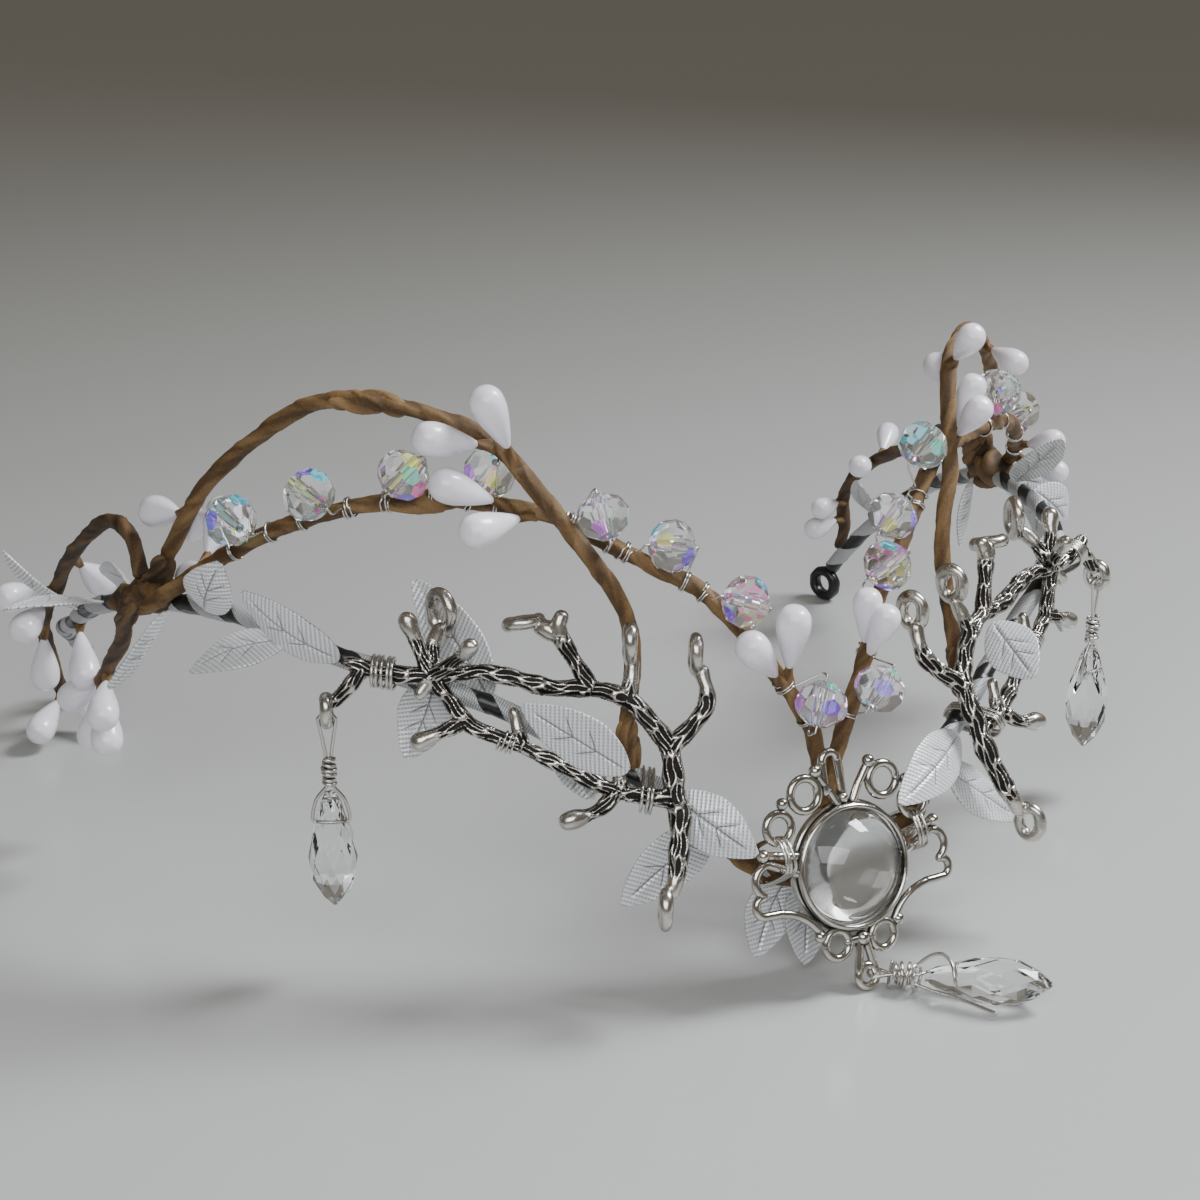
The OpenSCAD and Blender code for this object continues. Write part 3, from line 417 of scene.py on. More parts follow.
# ---- finishes
class Wire:
    """A socket. Sums with it in Python make Math nodes."""

    def __init__(self, finish, socket):
        self.finish, self.socket = finish, socket

    def maths(self, operation, *values):
        return self.finish.node("ShaderNodeMath", {"operation": operation}, dict(enumerate(values)))

    def __add__(self, other): return self.maths("ADD", self, other)
    def __sub__(self, other): return self.maths("SUBTRACT", self, other)
    def __rsub__(self, other): return self.maths("SUBTRACT", other, self)
    def __mul__(self, other): return self.maths("MULTIPLY", self, other)
    def __abs__(self): return self.maths("ABSOLUTE", self)
    def sine(self): return self.maths("SINE", self)
    def above(self, limit): return self.maths("GREATER_THAN", self, limit)
    def most(self, other): return self.maths("MAXIMUM", self, other)

    def clear(self, low, high):
        """0 at low, 1 at high, and an even rise between them."""
        return self.finish.node("ShaderNodeMapRange", {"interpolation_type": "SMOOTHSTEP"},
                                {0: self, 1: low, 2: high})


class Finish:
    """A material and the nodes that make its maps."""

    def __init__(self, name, **shader):
        self.material = bpy.data.materials.new(name)
        self.material.use_nodes = True
        self.tree = self.material.node_tree
        self.shader = self.tree.nodes["Principled BSDF"]
        for key, value in shader.items():
            self.shader.inputs[key.replace("_", " ")].default_value = value

    def node(self, kind, settings=None, inputs=None, out=0):
        made = self.tree.nodes.new(kind)
        for key, value in (settings or {}).items():
            if key == "stops":
                ramp = made.color_ramp.elements
                while len(ramp) < len(value):
                    ramp.new(1)
                for stop, (position, colour) in zip(ramp, value):
                    stop.position, stop.color = position, (*colour, 1)
            else:
                setattr(made, key, value)
        for key, value in (inputs or {}).items():
            self.set(made.inputs[key], value)
        return Wire(self, made.outputs[out])

    def set(self, socket, value):
        if isinstance(value, Wire):
            self.tree.links.new(value.socket, socket)
        elif isinstance(value, (tuple, list)) and len(value) == 3 and socket.type == "RGBA":
            socket.default_value = (*value, 1)
        else:
            socket.default_value = value

    def mark(self, name):
        return self.node("ShaderNodeAttribute", {"attribute_name": name}, out="Fac")

    def grain(self, scale, detail=3.0, rough=0.55, where=None, warp=0.0):
        inputs = {"Scale": scale, "Detail": detail, "Roughness": rough, "Distortion": warp}
        inputs["Vector"] = where or self.node("ShaderNodeTexCoord", out="Object")
        return self.node("ShaderNodeTexNoise", None, inputs)

    def wrap(self):
        """The piece's own map: centimetres along, and part of a turn round."""
        return self.node("ShaderNodeUVMap", {"uv_map": "wrap"})

    def split(self, vector):
        made = self.node("ShaderNodeSeparateXYZ", None, {0: vector})
        node = made.socket.node
        return [Wire(self, node.outputs[k]) for k in range(3)]

    def join(self, x, y, z=0.0):
        return self.node("ShaderNodeCombineXYZ", None, {0: x, 1: y, 2: z})

    def blend(self, share, a, b):
        return self.node("ShaderNodeMix", {"data_type": "RGBA"}, {0: share, 6: a, 7: b}, out=2)

    def tones(self, share, *stops):
        return self.node("ShaderNodeValToRGB", {"stops": stops}, {0: share})

    def paint(self, **maps):
        for key, value in maps.items():
            self.set(self.shader.inputs[key.replace("_", " ")], value)

    def relief(self, height, depth, strength=1.0):
        """Depth in millimetres of a height map."""
        inputs = {"Height": height, "Distance": depth * MM, "Strength": strength}
        self.paint(Normal=self.node("ShaderNodeBump", None, inputs))


def paper_finish(name, tint):
    """Crepe paper twisted round a wire: brown, creased and fibrous, with painted light on the crests of
    its folds and painted shade in their valleys.
    """
    f = Finish(name, Roughness=0.6)
    x, y, _ = f.split(f.wrap())
    crease = f.grain(11, 4, 0.62, f.join(x * 1.6 + y * 2.0, y * 9.0 - x * 3.2), 0.3)
    fibre = f.grain(2600, 2, 0.6)
    blotch = f.grain(160, 3, 0.5)
    fold = f.mark("fold")
    # The fold mark is painted light and shade: the crests of the folds are lighter, their valleys
    # darker.
    tone = (crease * 0.55 + blotch * 0.30 + fibre * 0.22 + fold * 0.30).clear(0.30, 0.96)
    f.paint(Base_Color=f.tones(tone, *zip((0.0, 0.45, 1.0), tint)), Roughness=tone * -0.14 + 0.68)
    f.relief(crease + fibre * 0.25 + blotch * 0.4, 0.22, 0.9)
    return f.material


def ribbon_finish():
    """Band: glossy black tape with a ribbed silver ribbon wound over it."""
    f = Finish("band_ribbon_and_tape", Coat_Roughness=0.25)
    x, y, _ = f.split(f.wrap())
    cover = f.mark("cover").clear(0.35, 0.65)
    rib = (x * 150.0 + y * 9.0).sine() * 0.5 + 0.5
    cross = (x * 40.0 - y * 130.0).sine() * 0.5 + 0.5
    weave = rib * 0.7 + cross * 0.3
    blotch = f.grain(300, 3)
    silver = f.blend(weave, (0.20, 0.20, 0.21), (0.66, 0.67, 0.69))
    black = f.blend(blotch, (0.006, 0.006, 0.007), (0.018, 0.017, 0.017))
    f.paint(Base_Color=f.blend(cover, black, silver), Roughness=cover * 0.12 + 0.33,
            Metallic=cover * 0.35)
    f.relief(weave * cover + blotch * 0.3, 0.10, 0.9)
    return f.material


def tape_finish():
    f = Finish("black_tape", Base_Color=(0.010, 0.010, 0.011, 1), Roughness=0.32)
    blotch = f.grain(420, 4)
    f.paint(Roughness=blotch * 0.2 + 0.24)
    f.relief(blotch, 0.08, 0.7)
    return f.material


def cast_finish(name, polish):
    """Antique cast silver: polished high places, black oxide in the grooves, and painted shade that
    darkens the pockets.
    """
    f = Finish(name, Metallic=1.0)
    groove = f.mark("groove").clear(0.18, 0.62)
    pocket = f.mark("pocket").clear(0.20, 0.62)
    haze = f.grain(900, 3)
    cloud = f.grain(230, 3)
    pits = f.grain(1700, 2).clear(0.60, 0.72) * (groove * 0.6 + 0.15)
    # Black oxide fills the grooves and pits; the pocket share adds painted shade where the form meets
    # itself.
    oxide_pits_and_pocket_shade = groove.most(pocket * 0.9).most(pits)
    silver = f.tones(cloud, (0.30, (0.44, 0.42, 0.385)), (0.52, (0.60, 0.58, 0.54)),
                     (0.75, (0.74, 0.65, 0.60)))
    f.paint(Base_Color=f.blend(oxide_pits_and_pocket_shade, silver, (0.008, 0.006, 0.005)),
            Roughness=oxide_pits_and_pocket_shade * 0.3 + haze * 0.10 + polish, Metallic=oxide_pits_and_pocket_shade * -0.5 + 1.0)
    f.relief(haze * 0.5 + cloud * 0.5, 0.05, 0.5)
    return f.material


def wire_finish():
    f = Finish("tinned_wire", Metallic=1.0)
    x, y, _ = f.split(f.wrap())
    drawn = f.grain(9, 2, 0.5, f.join(x * 1.5, y * 12.0))
    # Painted shade: the wire darkens by the pocket share where its turns lie against each other.
    pocket = f.mark("pocket").clear(0.4, 1.0)
    f.paint(Base_Color=f.blend(pocket, (0.62, 0.60, 0.57), (0.13, 0.12, 0.11)),
            Roughness=drawn * 0.2 + 0.14)
    f.relief(drawn, 0.02, 0.5)
    return f.material


def leaf_finish():
    """Silver twill ribbon with a pressed middle rib and side veins, duller on its back."""
    f = Finish("silver_twill", Sheen_Weight=0.4, Sheen_Roughness=0.4, Specular_IOR_Level=0.6)
    x, y, _ = f.split(f.wrap())
    sway = f.grain(260, 2)
    rib = ((x * 0.86 + y * 0.50 + sway * 0.012) * 92.0).sine() * 0.5 + 0.5
    stitch = ((y * 0.86 - x * 0.50 + sway * 0.010) * 118.0).sine() * 0.5 + 0.5
    weave = 1.0 - (1.0 - rib.clear(0.0, 0.65)) * (1.0 - stitch.clear(0.1, 0.8) * 0.55)
    out = abs(y)
    line = out.clear(0.016, 0.004)
    for start in VEIN_STARTS:
        vein = abs(out * 1.15 + f.mark("long") * start - x).clear(0.020, 0.005)
        line = line.most(vein * out.clear(0.26, 0.16))
    line = line * f.mark("inner").clear(0.02, 0.10)
    fray = f.grain(2400, 2)
    light = f.blend(weave, (0.44, 0.445, 0.47), (0.84, 0.85, 0.89))
    dark = f.blend(weave, (0.28, 0.285, 0.29), (0.60, 0.605, 0.61))
    cloth = f.blend(line * 0.75, f.blend(f.mark("back"), light, dark), (0.16, 0.16, 0.17))
    f.paint(Base_Color=cloth, Roughness=weave * -0.12 + 0.44, Metallic=weave * 0.25)
    f.relief(weave + fray * 0.3 - line * 1.2, 0.18, 1.0)
    return f.material


def berry_finish():
    """Lilac white lacquer over a moulded berry."""
    f = Finish("lilac_lacquer", Roughness=0.3, Coat_Weight=0.6, Coat_Roughness=0.12,
               Subsurface_Weight=0.12, Subsurface_Scale=0.002)
    cloud = f.grain(220, 3)
    pit = f.grain(1500, 2).clear(0.30, 0.40)
    f.paint(Base_Color=f.blend(cloud, (0.80, 0.775, 0.88), (0.92, 0.90, 0.97)),
            Roughness=cloud * 0.2 + 0.2)
    f.relief(pit + cloud * 1.5, 0.05, 0.5)
    return f.material


def bead_finish():
    """Cut glass with a rainbow coat on the flats whose tint is over a limit; those flats also glow in
    the coat's colours, painted light for the coat's reflections.
    """
    f = Finish("rainbow_crystal", Transmission_Weight=0.94, IOR=1.45, Emission_Strength=0.22)
    tint, coated = f.mark("tint"), 0.86
    film_and_glow = f.tones(tint, (0.0, (1, 1, 1)), (coated, (0.72, 0.22, 1.0)), (0.885, (0.25, 0.15, 1.0)),
                   (0.91, (1.0, 0.20, 0.55)), (0.93, (0.12, 0.80, 1.0)), (0.96, (0.95, 1.0, 0.30)),
                   (0.98, (0.30, 1.0, 0.80)))
    film_and_glow.socket.node.color_ramp.interpolation = "CONSTANT"
    # Painted light: the coated flats glow in the coat's colours.
    f.paint(Base_Color=film_and_glow, Roughness=f.grain(500, 2) * 0.02,
            Emission_Color=f.blend(tint.above(coated), (0, 0, 0), film_and_glow))
    return f.material


def glass_finish(name, colour, ior):
    f = Finish(name, Transmission_Weight=1.0, IOR=ior)
    haze = f.grain(350, 4)
    f.paint(Base_Color=f.blend(haze, colour, (1, 1, 1)), Roughness=haze.clear(0.6, 0.9) * 0.05)
    return f.material


warm_paper = paper_finish("twisted_paper", ((0.040, 0.020, 0.006), (0.112, 0.057, 0.018),
                                            (0.30, 0.175, 0.066)))
# A darker copy of the same paper, painted shade, for the rear and low vines and the knots.
shaded_paper = paper_finish("shaded_copy_of_twisted_paper", ((0.014, 0.007, 0.003), (0.050, 0.025, 0.009),
                                             (0.17, 0.095, 0.036)))
ribbon = ribbon_finish()
tape = tape_finish()
twig_silver = cast_finish("cast_twig_silver", 0.20)
pendant_silver = cast_finish("cast_pendant_silver", 0.10)
foil = Finish("pale_foil", Base_Color=(0.90, 0.91, 0.92, 1), Metallic=0.9,
              Roughness=0.13).material
tinned = wire_finish()
twill = leaf_finish()
lacquer = berry_finish()
crystal_glass = bead_finish()
drop_crystal = glass_finish("drop_crystal", (0.97, 0.98, 0.99), 1.55)
cabochon_glass = glass_finish("cabochon_glass", (0.96, 0.97, 0.98), 1.5)


# ---- band
def wobble(s, seed):
    """Slow uneven swing between -1 and 1."""
    return (np.sin(0.31 * s + seed) + np.sin(0.173 * s + 2.3 * seed) + np.sin(0.57 * s + 4.1 * seed)) / 3


def soft_step(x, low, high):
    t = np.clip((x - low) / (high - low), 0, 1)
    return t * t * (3 - 2 * t)


def ribbon_cover(s, turn):
    """1 where the ribbon lies over the black tape."""
    lap = (s / 11.5 - turn / (2 * math.pi) + 0.06 * np.sin(0.4 * s)) % 1
    return soft_step(lap, 0.0, 0.03) * (1 - soft_step(lap, 0.60, 0.63))


def band_width(s, turn):
    lap = (s / 3.8 + turn / (2 * math.pi)) % 1
    black = 1.42 + 0.06 * soft_step(lap, 0, 0.15) - 0.05 * lap + 0.02 * np.sin(3 * turn + s)
    return black + ribbon_cover(s, turn) * (0.20 + 0.03 * np.sin(2 * turn + 0.9 * s))


def crumple(base, seed, deep=1.0):
    """Twisted paper: lumps, spiral folds and one lapped edge."""
    def width(s, turn):
        a, b = wobble(s, seed), wobble(1.7 * s, seed + 3)
        lap = (turn / (2 * math.pi) - s / 6.5 + 0.2 * a) % 1
        fold = (0.080 * np.cos(2 * turn - 0.40 * s + 1.6 * a)
                + 0.055 * np.cos(3 * turn - 0.72 * s + 2.0 * b)
                + 0.035 * np.cos(5 * turn - 1.3 * s + 3.0 * a)
                + 0.022 * np.cos(9 * turn - 2.1 * s + 4.0 * b)
                + 0.10 * np.maximum(0, a) ** 2 + 0.07 * (1 - lap) * (lap > 0.02))
        return base * (0.97 + deep * fold)
    return width


def fold_light_and_shade(base, seed, deep=1.0):
    """Height of the same folds, from 0 to 1, painted into the paper's colour as light on their crests
    and shade in their valleys.
    """
    width = crumple(base, seed, deep)
    return lambda s, turn: np.clip((width(s, turn) / base - 0.90) / 0.30, 0, 1)


def band_point(place):
    """Number of the band's point that is nearest to a crown place."""
    return np.linalg.norm(band_fine - near(band_fine, spot(place))[0], axis=1).argmin()


band_fine = evenly(spots(BAND, 10), FINE)
form = new_form("cover")
tube(form, band_fine, band_width, 28, {"cover": ribbon_cover}, 0.4)
piece("band_winding", form, ribbon, "band_wrap", "band")
form = new_form("fold")
front = band_fine[band_point([-12, 23.5, -4.5]):band_point([12, 24, -4.2]) + 1]
paper = (1.95, 2.2, 1.2)
tube(form, front, crumple(*paper), 24, {"fold": fold_light_and_shade(*paper)})
piece("band_paper_front", form, warm_paper, "vine_paper")

for side, row in LOOPS.items():
    form = new_form()
    profile = [(1.9, -0.9), (2.2, -1.25), (2.7, -1.4), (3.3, -1.25), (3.75, -0.8), (3.9, 0),
               (3.75, 0.8), (3.3, 1.25), (2.7, 1.4), (2.2, 1.25), (1.9, 0.9), (1.8, 0), (1.9, -0.9)]
    lathe(form, profile, aim(spot(row), (*wall_out(row[0]), 0)), 48)
    for v in form.verts:
        v.co += v.normal * 0.06 * math.sin(1.9 * v.co.x + 2.3 * v.co.z)
    piece("band_eye_" + side, form, tape, "band_wrap", "band_loop_" + side)

# ---- vines
vine_fine = {name: evenly(spots(rows, 10), FINE) for name, rows in VINES.items()}
for seed, (name, route) in enumerate(vine_fine.items()):
    form = new_form("fold")
    paper = (VINE_R + 0.05, 1.3 * seed)
    tube(form, route, crumple(*paper), 22, {"fold": fold_light_and_shade(*paper)}, 0.6)
    # The rear and low vines take the darker copy of the paper: painted shade.
    finish = shaded_paper if name in ("rear_left", "low_left", "rear_right") else warm_paper
    piece("paper_vine_" + name, form, finish, "vine_paper", "vine_" + name)

# Paper bound over the places where the vines meet the band or lap: route, radius, seed
KNOTS = {
    "paper_knot_left": [
        [[[-75, 50.3, 1], [-71.5, 52.4, 1], [-68, 54, 1.4], [-65.5, 55.4, 2.2]], 2.3, 4.6],
        [[[-71.5, 51.5, 0.5], [-68.5, 56, 0.6], [-66, 60.5, 0.8]], 1.9, 2.1],
        [[[-70.5, 55.5, 0.2], [-71, 52.5, 2.4], [-73.5, 47, 2.4]], 1.6, 1.2]],
    "paper_knot_right": [
        [[[70, 47.5, 1], [73, 47.2, 0.4], [76, 45, 0.2]], 3.2, 3.1],
        [[[74.5, 45.5, -1], [73.5, 49.5, -1.2], [71.5, 54, -1.6]], 2.4, 0.4],
        [[[72, 46, 2], [74, 49, 1], [76, 52, -2]], 2.1, 6.4]],
    "paper_laps": [[[[-44, 91, -0.7], [-40, 91.5, -1], [-37.5, 90.6, -1.5]], 1.55, 3.3],
                   [[[-40.5, 76.3, -1.2], [-37, 76.8, -2.2], [-34, 77, -3]], 1.55, 5.5]],
    "paper_foot": [[[[0, 17.5, -4.5], [0, 24, -4.5], [0.1, 30, -4.3], [0.4, 34.5, -3.9]], 2.25, 5.2]],
    "paper_arch_foot_left": [[[[-20.8, 36.3, -5], [-20.8, 39, -5.2], [-20.6, 43, -6]], 1.5, 2.7]],
    "paper_arch_foot_right": [[[[22, 36, -3.6], [22.3, 39, -4.3], [22, 43.5, -4.3]], 1.75, 1.9]]}
for name, sleeves in KNOTS.items():
    form = new_form("fold")
    for rows, wide, seed in sleeves:
        route = evenly(spots(rows, 10), 0.3)
        end = along(route)[-1]
        paper = (wide, seed, 2.0)
        swell = crumple(*paper)
        tube(form, route, lambda s, turn: swell(s, turn) * (
            0.72 + 0.28 * np.sin(np.clip(s / end, 0, 1) * math.pi) ** 0.5), 30,
             {"fold": fold_light_and_shade(*paper)}, 0.5)
    # Knots take the darker copy of the paper: painted shade.
    piece(name, form, shaded_paper if "knot" in name else warm_paper, "vine_paper")


# ---- berries
def berry(form, cuff, row, size):
    """A berry that stands off the nearest wire, and the paper cuff round its stem."""
    root = spot(row[:3])
    hits = [near(stem, root) for stem in stems]
    foot_at, way = min(hits, key=lambda hit: np.linalg.norm(hit[0] - root))
    d = unit(spot(row[3:6]) - foot_at)
    start = (BAND_R + SEAT) / max(np.linalg.norm(np.cross(d, way)), 0.6)
    foot = start + 0.9
    w, long = size * BERRY_D / 2, size * BERRY_L
    shape = [[0.0, -1.2], [0.36, -1.1], [0.40, 0], [0.30 * w, 0.09 * long], [0.50 * w, 0.22 * long],
             [0.76 * w, 0.42 * long], [0.95 * w, 0.60 * long], [w, 0.74 * long], [0.93 * w, 0.86 * long],
             [0.66 * w, 0.955 * long], [0.30 * w, 0.993 * long], [0, long]]
    profile = [(max(r, 0), foot + z) for r, z in curve(shape, 3)]
    profile[0] = (0, profile[0][1])
    lathe(form, profile, aim(foot_at, d), 32)
    neck = foot_at + np.outer(np.linspace(0.3, foot + 0.6, 9), d)
    r = np.linspace(1.25, 0.55, 9)
    # The cuff's fold mark follows its ridges: painted light on them and painted shade between them.
    tube(cuff, neck, lambda s, turn: np.interp(s, along(neck), r) * (
        1 + 0.10 * np.cos(3 * turn - 1.5 * s) + 0.06 * np.cos(7 * turn)), 14,
         {"fold": lambda s, turn: 0.5 + 0.3 * np.cos(3 * turn - 1.5 * s)}, 0.4)


for name, rows in BERRIES.items():
    form, cuff = new_form(), new_form("fold")
    for row in rows:
        berry(form, cuff, row, FAR_SIZE if name.endswith("right") else 1)
    piece("berry_spray_" + name, form, lacquer, "berry_lacquer", "berries_" + name)
    piece("berry_cuffs_" + name, cuff, warm_paper, "vine_paper")


# ---- leaves
def leaf(form, row, seed):
    """Pointed leaf pressed from ribbon: a middle rib, side veins, a bow and a slight curl."""
    p, tip, roll, band_side, bow = spot(row[:3]), spot(row[3:6]), math.radians(row[6]), row[7], row[8]
    out = unit([*wall_out(row[0]), 0.3])
    root = p if band_side == 0 else near(band_route, p)[0]
    root = root + band_side * out * (BAND_R + LEAF_T / 2 + SEAT)
    long = np.linalg.norm(tip - root)
    x = unit(tip - root)
    flat = unit(out - (out @ x) * x)
    z = math.cos(roll) * flat + math.sin(roll) * np.cross(flat, x)
    y = np.cross(z, x)
    verts = bmesh.ops.create_grid(form, x_segments=54, y_segments=32, size=0.5)["verts"]
    co = np.array([v.co[:2] for v in verts])
    t, c = co[:, 0] + 0.5, co[:, 1] * 2
    half = 0.35 + (LEAF_W / 2 - 0.35) * np.sin(np.pi * t ** 0.85).clip(0) ** 0.8
    edge = 1 + 0.015 * np.sin(9 * t + seed) + 0.010 * np.sin(23 * t + 2 * seed)
    across = c * half * edge
    reach = t * long
    middle = np.exp(-(across / 0.30) ** 2) * soft_step(t, 0.03, 0.10) * (1 - soft_step(t, 0.86, 0.97))
    veins = np.zeros(len(t))
    for start in VEIN_STARTS:
        lean = (np.abs(across) * 1.15 + start * long) - reach
        fade = soft_step(np.abs(across), 0.0, 0.4) * (1 - soft_step(np.abs(c), 0.55, 0.80))
        veins = np.maximum(veins, np.exp(-(lean / 0.34) ** 2) * fade)
    press = np.maximum(middle, veins)
    shoulder = (np.exp(-((np.abs(across) - 0.62) / 0.3) ** 2) * soft_step(t, 0.05, 0.15)
                * (1 - soft_step(t, 0.8, 0.95)))
    cup = 0.55 * (c ** 2) * np.sin(np.pi * t).clip(0) * math.copysign(1, bow)
    height = (bow * np.sin(np.pi * t) - cup + 0.16 * np.sin(5 * t + seed) * c
              + 0.12 * np.sin(7 * t + 2.2 * seed) * c ** 2 - 0.22 * press + 0.08 * shoulder)
    wrap, length, inner = form.loops.layers.uv["wrap"], mark(form, "long"), mark(form, "inner")
    for v, px, py, pz, part in zip(verts, reach, across, height, t):
        v.co = root + x * px + y * py + z * pz
        v[length] = long / 10
        v[inner] = min(part, 0.92 - part)
        for loop in v.link_loops:
            loop[wrap].uv = (px / 10, py / 10)


for name, rows in LEAVES.items():
    form = new_form("long", "inner", "back")
    for number, row in enumerate(rows):
        leaf(form, row, 1.7 * number + len(name) + 5)
    bmesh.ops.remove_doubles(form, verts=form.verts, dist=WELD)
    fronts, back = set(form.verts), mark(form, "back")
    bmesh.ops.solidify(form, geom=list(form.faces), thickness=0.34)
    for v in form.verts:
        v[back] = float(v not in fronts)
    piece("leaf_" + name, form, twill, "leaf_cloth", "leaves_" + name)


# ---- cast twigs
def twig_way(side, more=0):
    """The level way in which a plate runs."""
    a = math.radians(TWIG_TURN[side] + more)
    return np.array([side * math.cos(a), math.sin(a), 0])


def twig_spot(side, p):
    """Place on a plate: along it, height, distance in front."""
    way = twig_way(side)
    h = p[1] - p[0] * math.tan(math.radians(TWIG_DIP[side]))
    x, y = TWIG_START[side]
    return (np.array([side * x - CENTRE_X, y - CENTRE_Y + TWIG_LEAN * h, h])
            + way * p[0] + np.array([side * way[1], -side * way[0], 0]) * p[2])


def ring_route(side, row, stretch, size):
    way = twig_way(side, -42 if row[1] > BIG_RING_FROM else 0)
    if row[3] == 1:
        way = unit([0, TWIG_LEAN, 1])
    first = unit(np.cross(way, [0, 0, 1] if abs(way[2]) < 0.8 else [1, 0, 0]))
    second = np.cross(way, first)
    t = np.linspace(0, 2 * math.pi, 41)
    return twig_spot(side, row) + RING_MID_R * size * (np.outer(np.cos(t), first)
                                                       + stretch * np.outer(np.sin(t), second))


def bark(s, turn):
    """0 on the thin walls between long cells of bark, 1 inside them."""
    u, v = s / BARK_L, (turn / (2 * math.pi) + 0.5) * BARK_MANY
    nearest = np.full(len(s), 9.0)
    second = nearest.copy()
    for i in (-1, 0, 1):
        for j in (-1, 0, 1):
            row, column = np.floor(u) + i, np.floor(v) + j
            a = np.sin(12.99 * row + 78.23 * (column % BARK_MANY)) * 437.6
            b = np.sin(39.35 * row + 11.14 * (column % BARK_MANY)) * 271.9
            gap = np.hypot(u - row - 0.5 - 0.7 * (a % 1 - 0.5), v - column - 0.5 - 0.7 * (b % 1 - 0.5))
            second = np.minimum(second, np.maximum(nearest, gap))
            nearest = np.minimum(nearest, gap)
    return soft_step(second - nearest, 0.11, 0.27)


def one_skin(form):
    """The same form under one skin, with its forks rounded off."""
    bmesh.ops.recalc_face_normals(form, faces=form.faces)
    body = placed("twig_core", as_mesh("twig_core", form))
    skin = body.modifiers.new("skin", "REMESH")
    skin.mode, skin.voxel_size, skin.use_smooth_shade = "VOXEL", SKIN_CELL, True
    whole = bpy.data.meshes.new_from_object(body.evaluated_get(bpy.context.evaluated_depsgraph_get()))
    bpy.data.objects.remove(body)
    form = new_form("groove", "pocket")
    form.from_mesh(whole)
    bpy.data.meshes.remove(whole)
    for _ in range(4):
        bmesh.ops.smooth_vert(form, verts=form.verts, factor=0.5,
                              use_axis_x=True, use_axis_y=True, use_axis_z=True)
    form.normal_update()
    return form


def twig(side, name):
    form, core = new_form(), []

    def note(points, polish, phase):
        """Keeps a limb's core: place, distance along, polish, phase and its three ways."""
        s = along(points)
        core.append(np.hstack([np.stack([*points.T, s, polish + 0 * s, phase + 0 * s], 1),
                               *ways(points)]))

    for k, limb in enumerate(TWIG_LIMBS):
        route = evenly(np.array([[*twig_spot(side, r[:3]), r[3]] for r in curve(limb, 8)]), FINE)
        points, r = route[:, :3], route[:, 3]
        s = along(points)
        bud = soft_step(s, s[-1] - 3.2, s[-1] - 0.6) * (k in BUD_ENDS)
        tube(form, points, r * (1 + 0.05 * np.sin(1.1 * s + k)) + 0.32 * bud, 20)
        low, high = (3, 1.5) if k == 0 else (4.2, 2.2)
        note(points, soft_step(s, s[-1] - low, s[-1] - high) * (k not in ROUGH_ENDS), 1.7 * k)
    for row in TWIG_RINGS + [DROP_RING]:
        stretch, size, more = (1.12, 1.0, 0.12) if row is DROP_RING else (1.3, 1.12, 0.20)
        route = ring_route(side, row, stretch, 1.35 if row[1] > BIG_RING_FROM else size)
        tube(form, route, RING_WIRE_R + more, 18, blunt=0.1)
        note(route, 1.0, 0.0)
    form, core = one_skin(form), np.vstack(core)
    tree = KDTree(len(core))
    for i, row in enumerate(core):
        tree.insert(row[:3], i)
    tree.balance()
    nearest = core[[tree.find(v.co)[1] for v in form.verts]]
    away = np.array([v.co for v in form.verts]) - nearest[:, :3]
    reach, polish, seed = nearest[:, 3:6].T
    ahead, across, up = np.split(nearest[:, 6:], 3, axis=1)
    s = reach + (away * ahead).sum(1) + 3 * seed
    turn = np.arctan2((away * up).sum(1), (away * across).sum(1))
    groove = bark(s + 0.5 * np.sin(2 * turn + seed), turn + 0.12 * np.sin(1.3 * s + seed)) * (1 - polish)
    knob = 0.09 * np.sin(0.9 * s + seed) + 0.04 * np.sin(1.7 * s + 2 * turn)
    layer = mark(form, "groove")
    for v, n, g, k in zip(form.verts, [v.normal.copy() for v in form.verts], groove, knob):
        v[layer] = g
        v.co += n * (0.14 + k - BARK_DEEP * g)
    mark_pocket_shade(form, 1.3)
    piece("twig_" + name, form, twig_silver, "cast_silver", "charm_" + name)


for side, name in SIDES:
    twig(side, name)


# ---- ties of thin wire
def strand(form, points, radius, step=0.2, around=10):
    tube(form, evenly(points, step), radius, around)


def coil(form, a, b, axis, turns, wide, deep):
    """Turns of wire round two rods that lie side by side."""
    c, d = (a + b) / 2, unit(b - a)
    t = unit(axis - (axis @ d) * d)
    s = np.cross(t, d)
    reach = np.linalg.norm(b - a) / 2
    k = np.linspace(0, turns, 24 * turns + 1)
    turn = 2 * math.pi * k + 0.02
    sag = 0.10 * np.sin(2.3 * k + 1) + 0.16 * np.cos(turn + 0.7)
    at = (k - turns / 2) * (2 * TIE_R + 0.2) + sag
    swing = np.clip(np.cos(turn) * 2.6, -1, 1)
    points = (c + np.outer(at, t) + np.outer(deep * np.cos(turn) + reach * swing, d)
              + np.outer(wide * np.sin(turn), s))
    strand(form, points, TIE_R - 0.03)


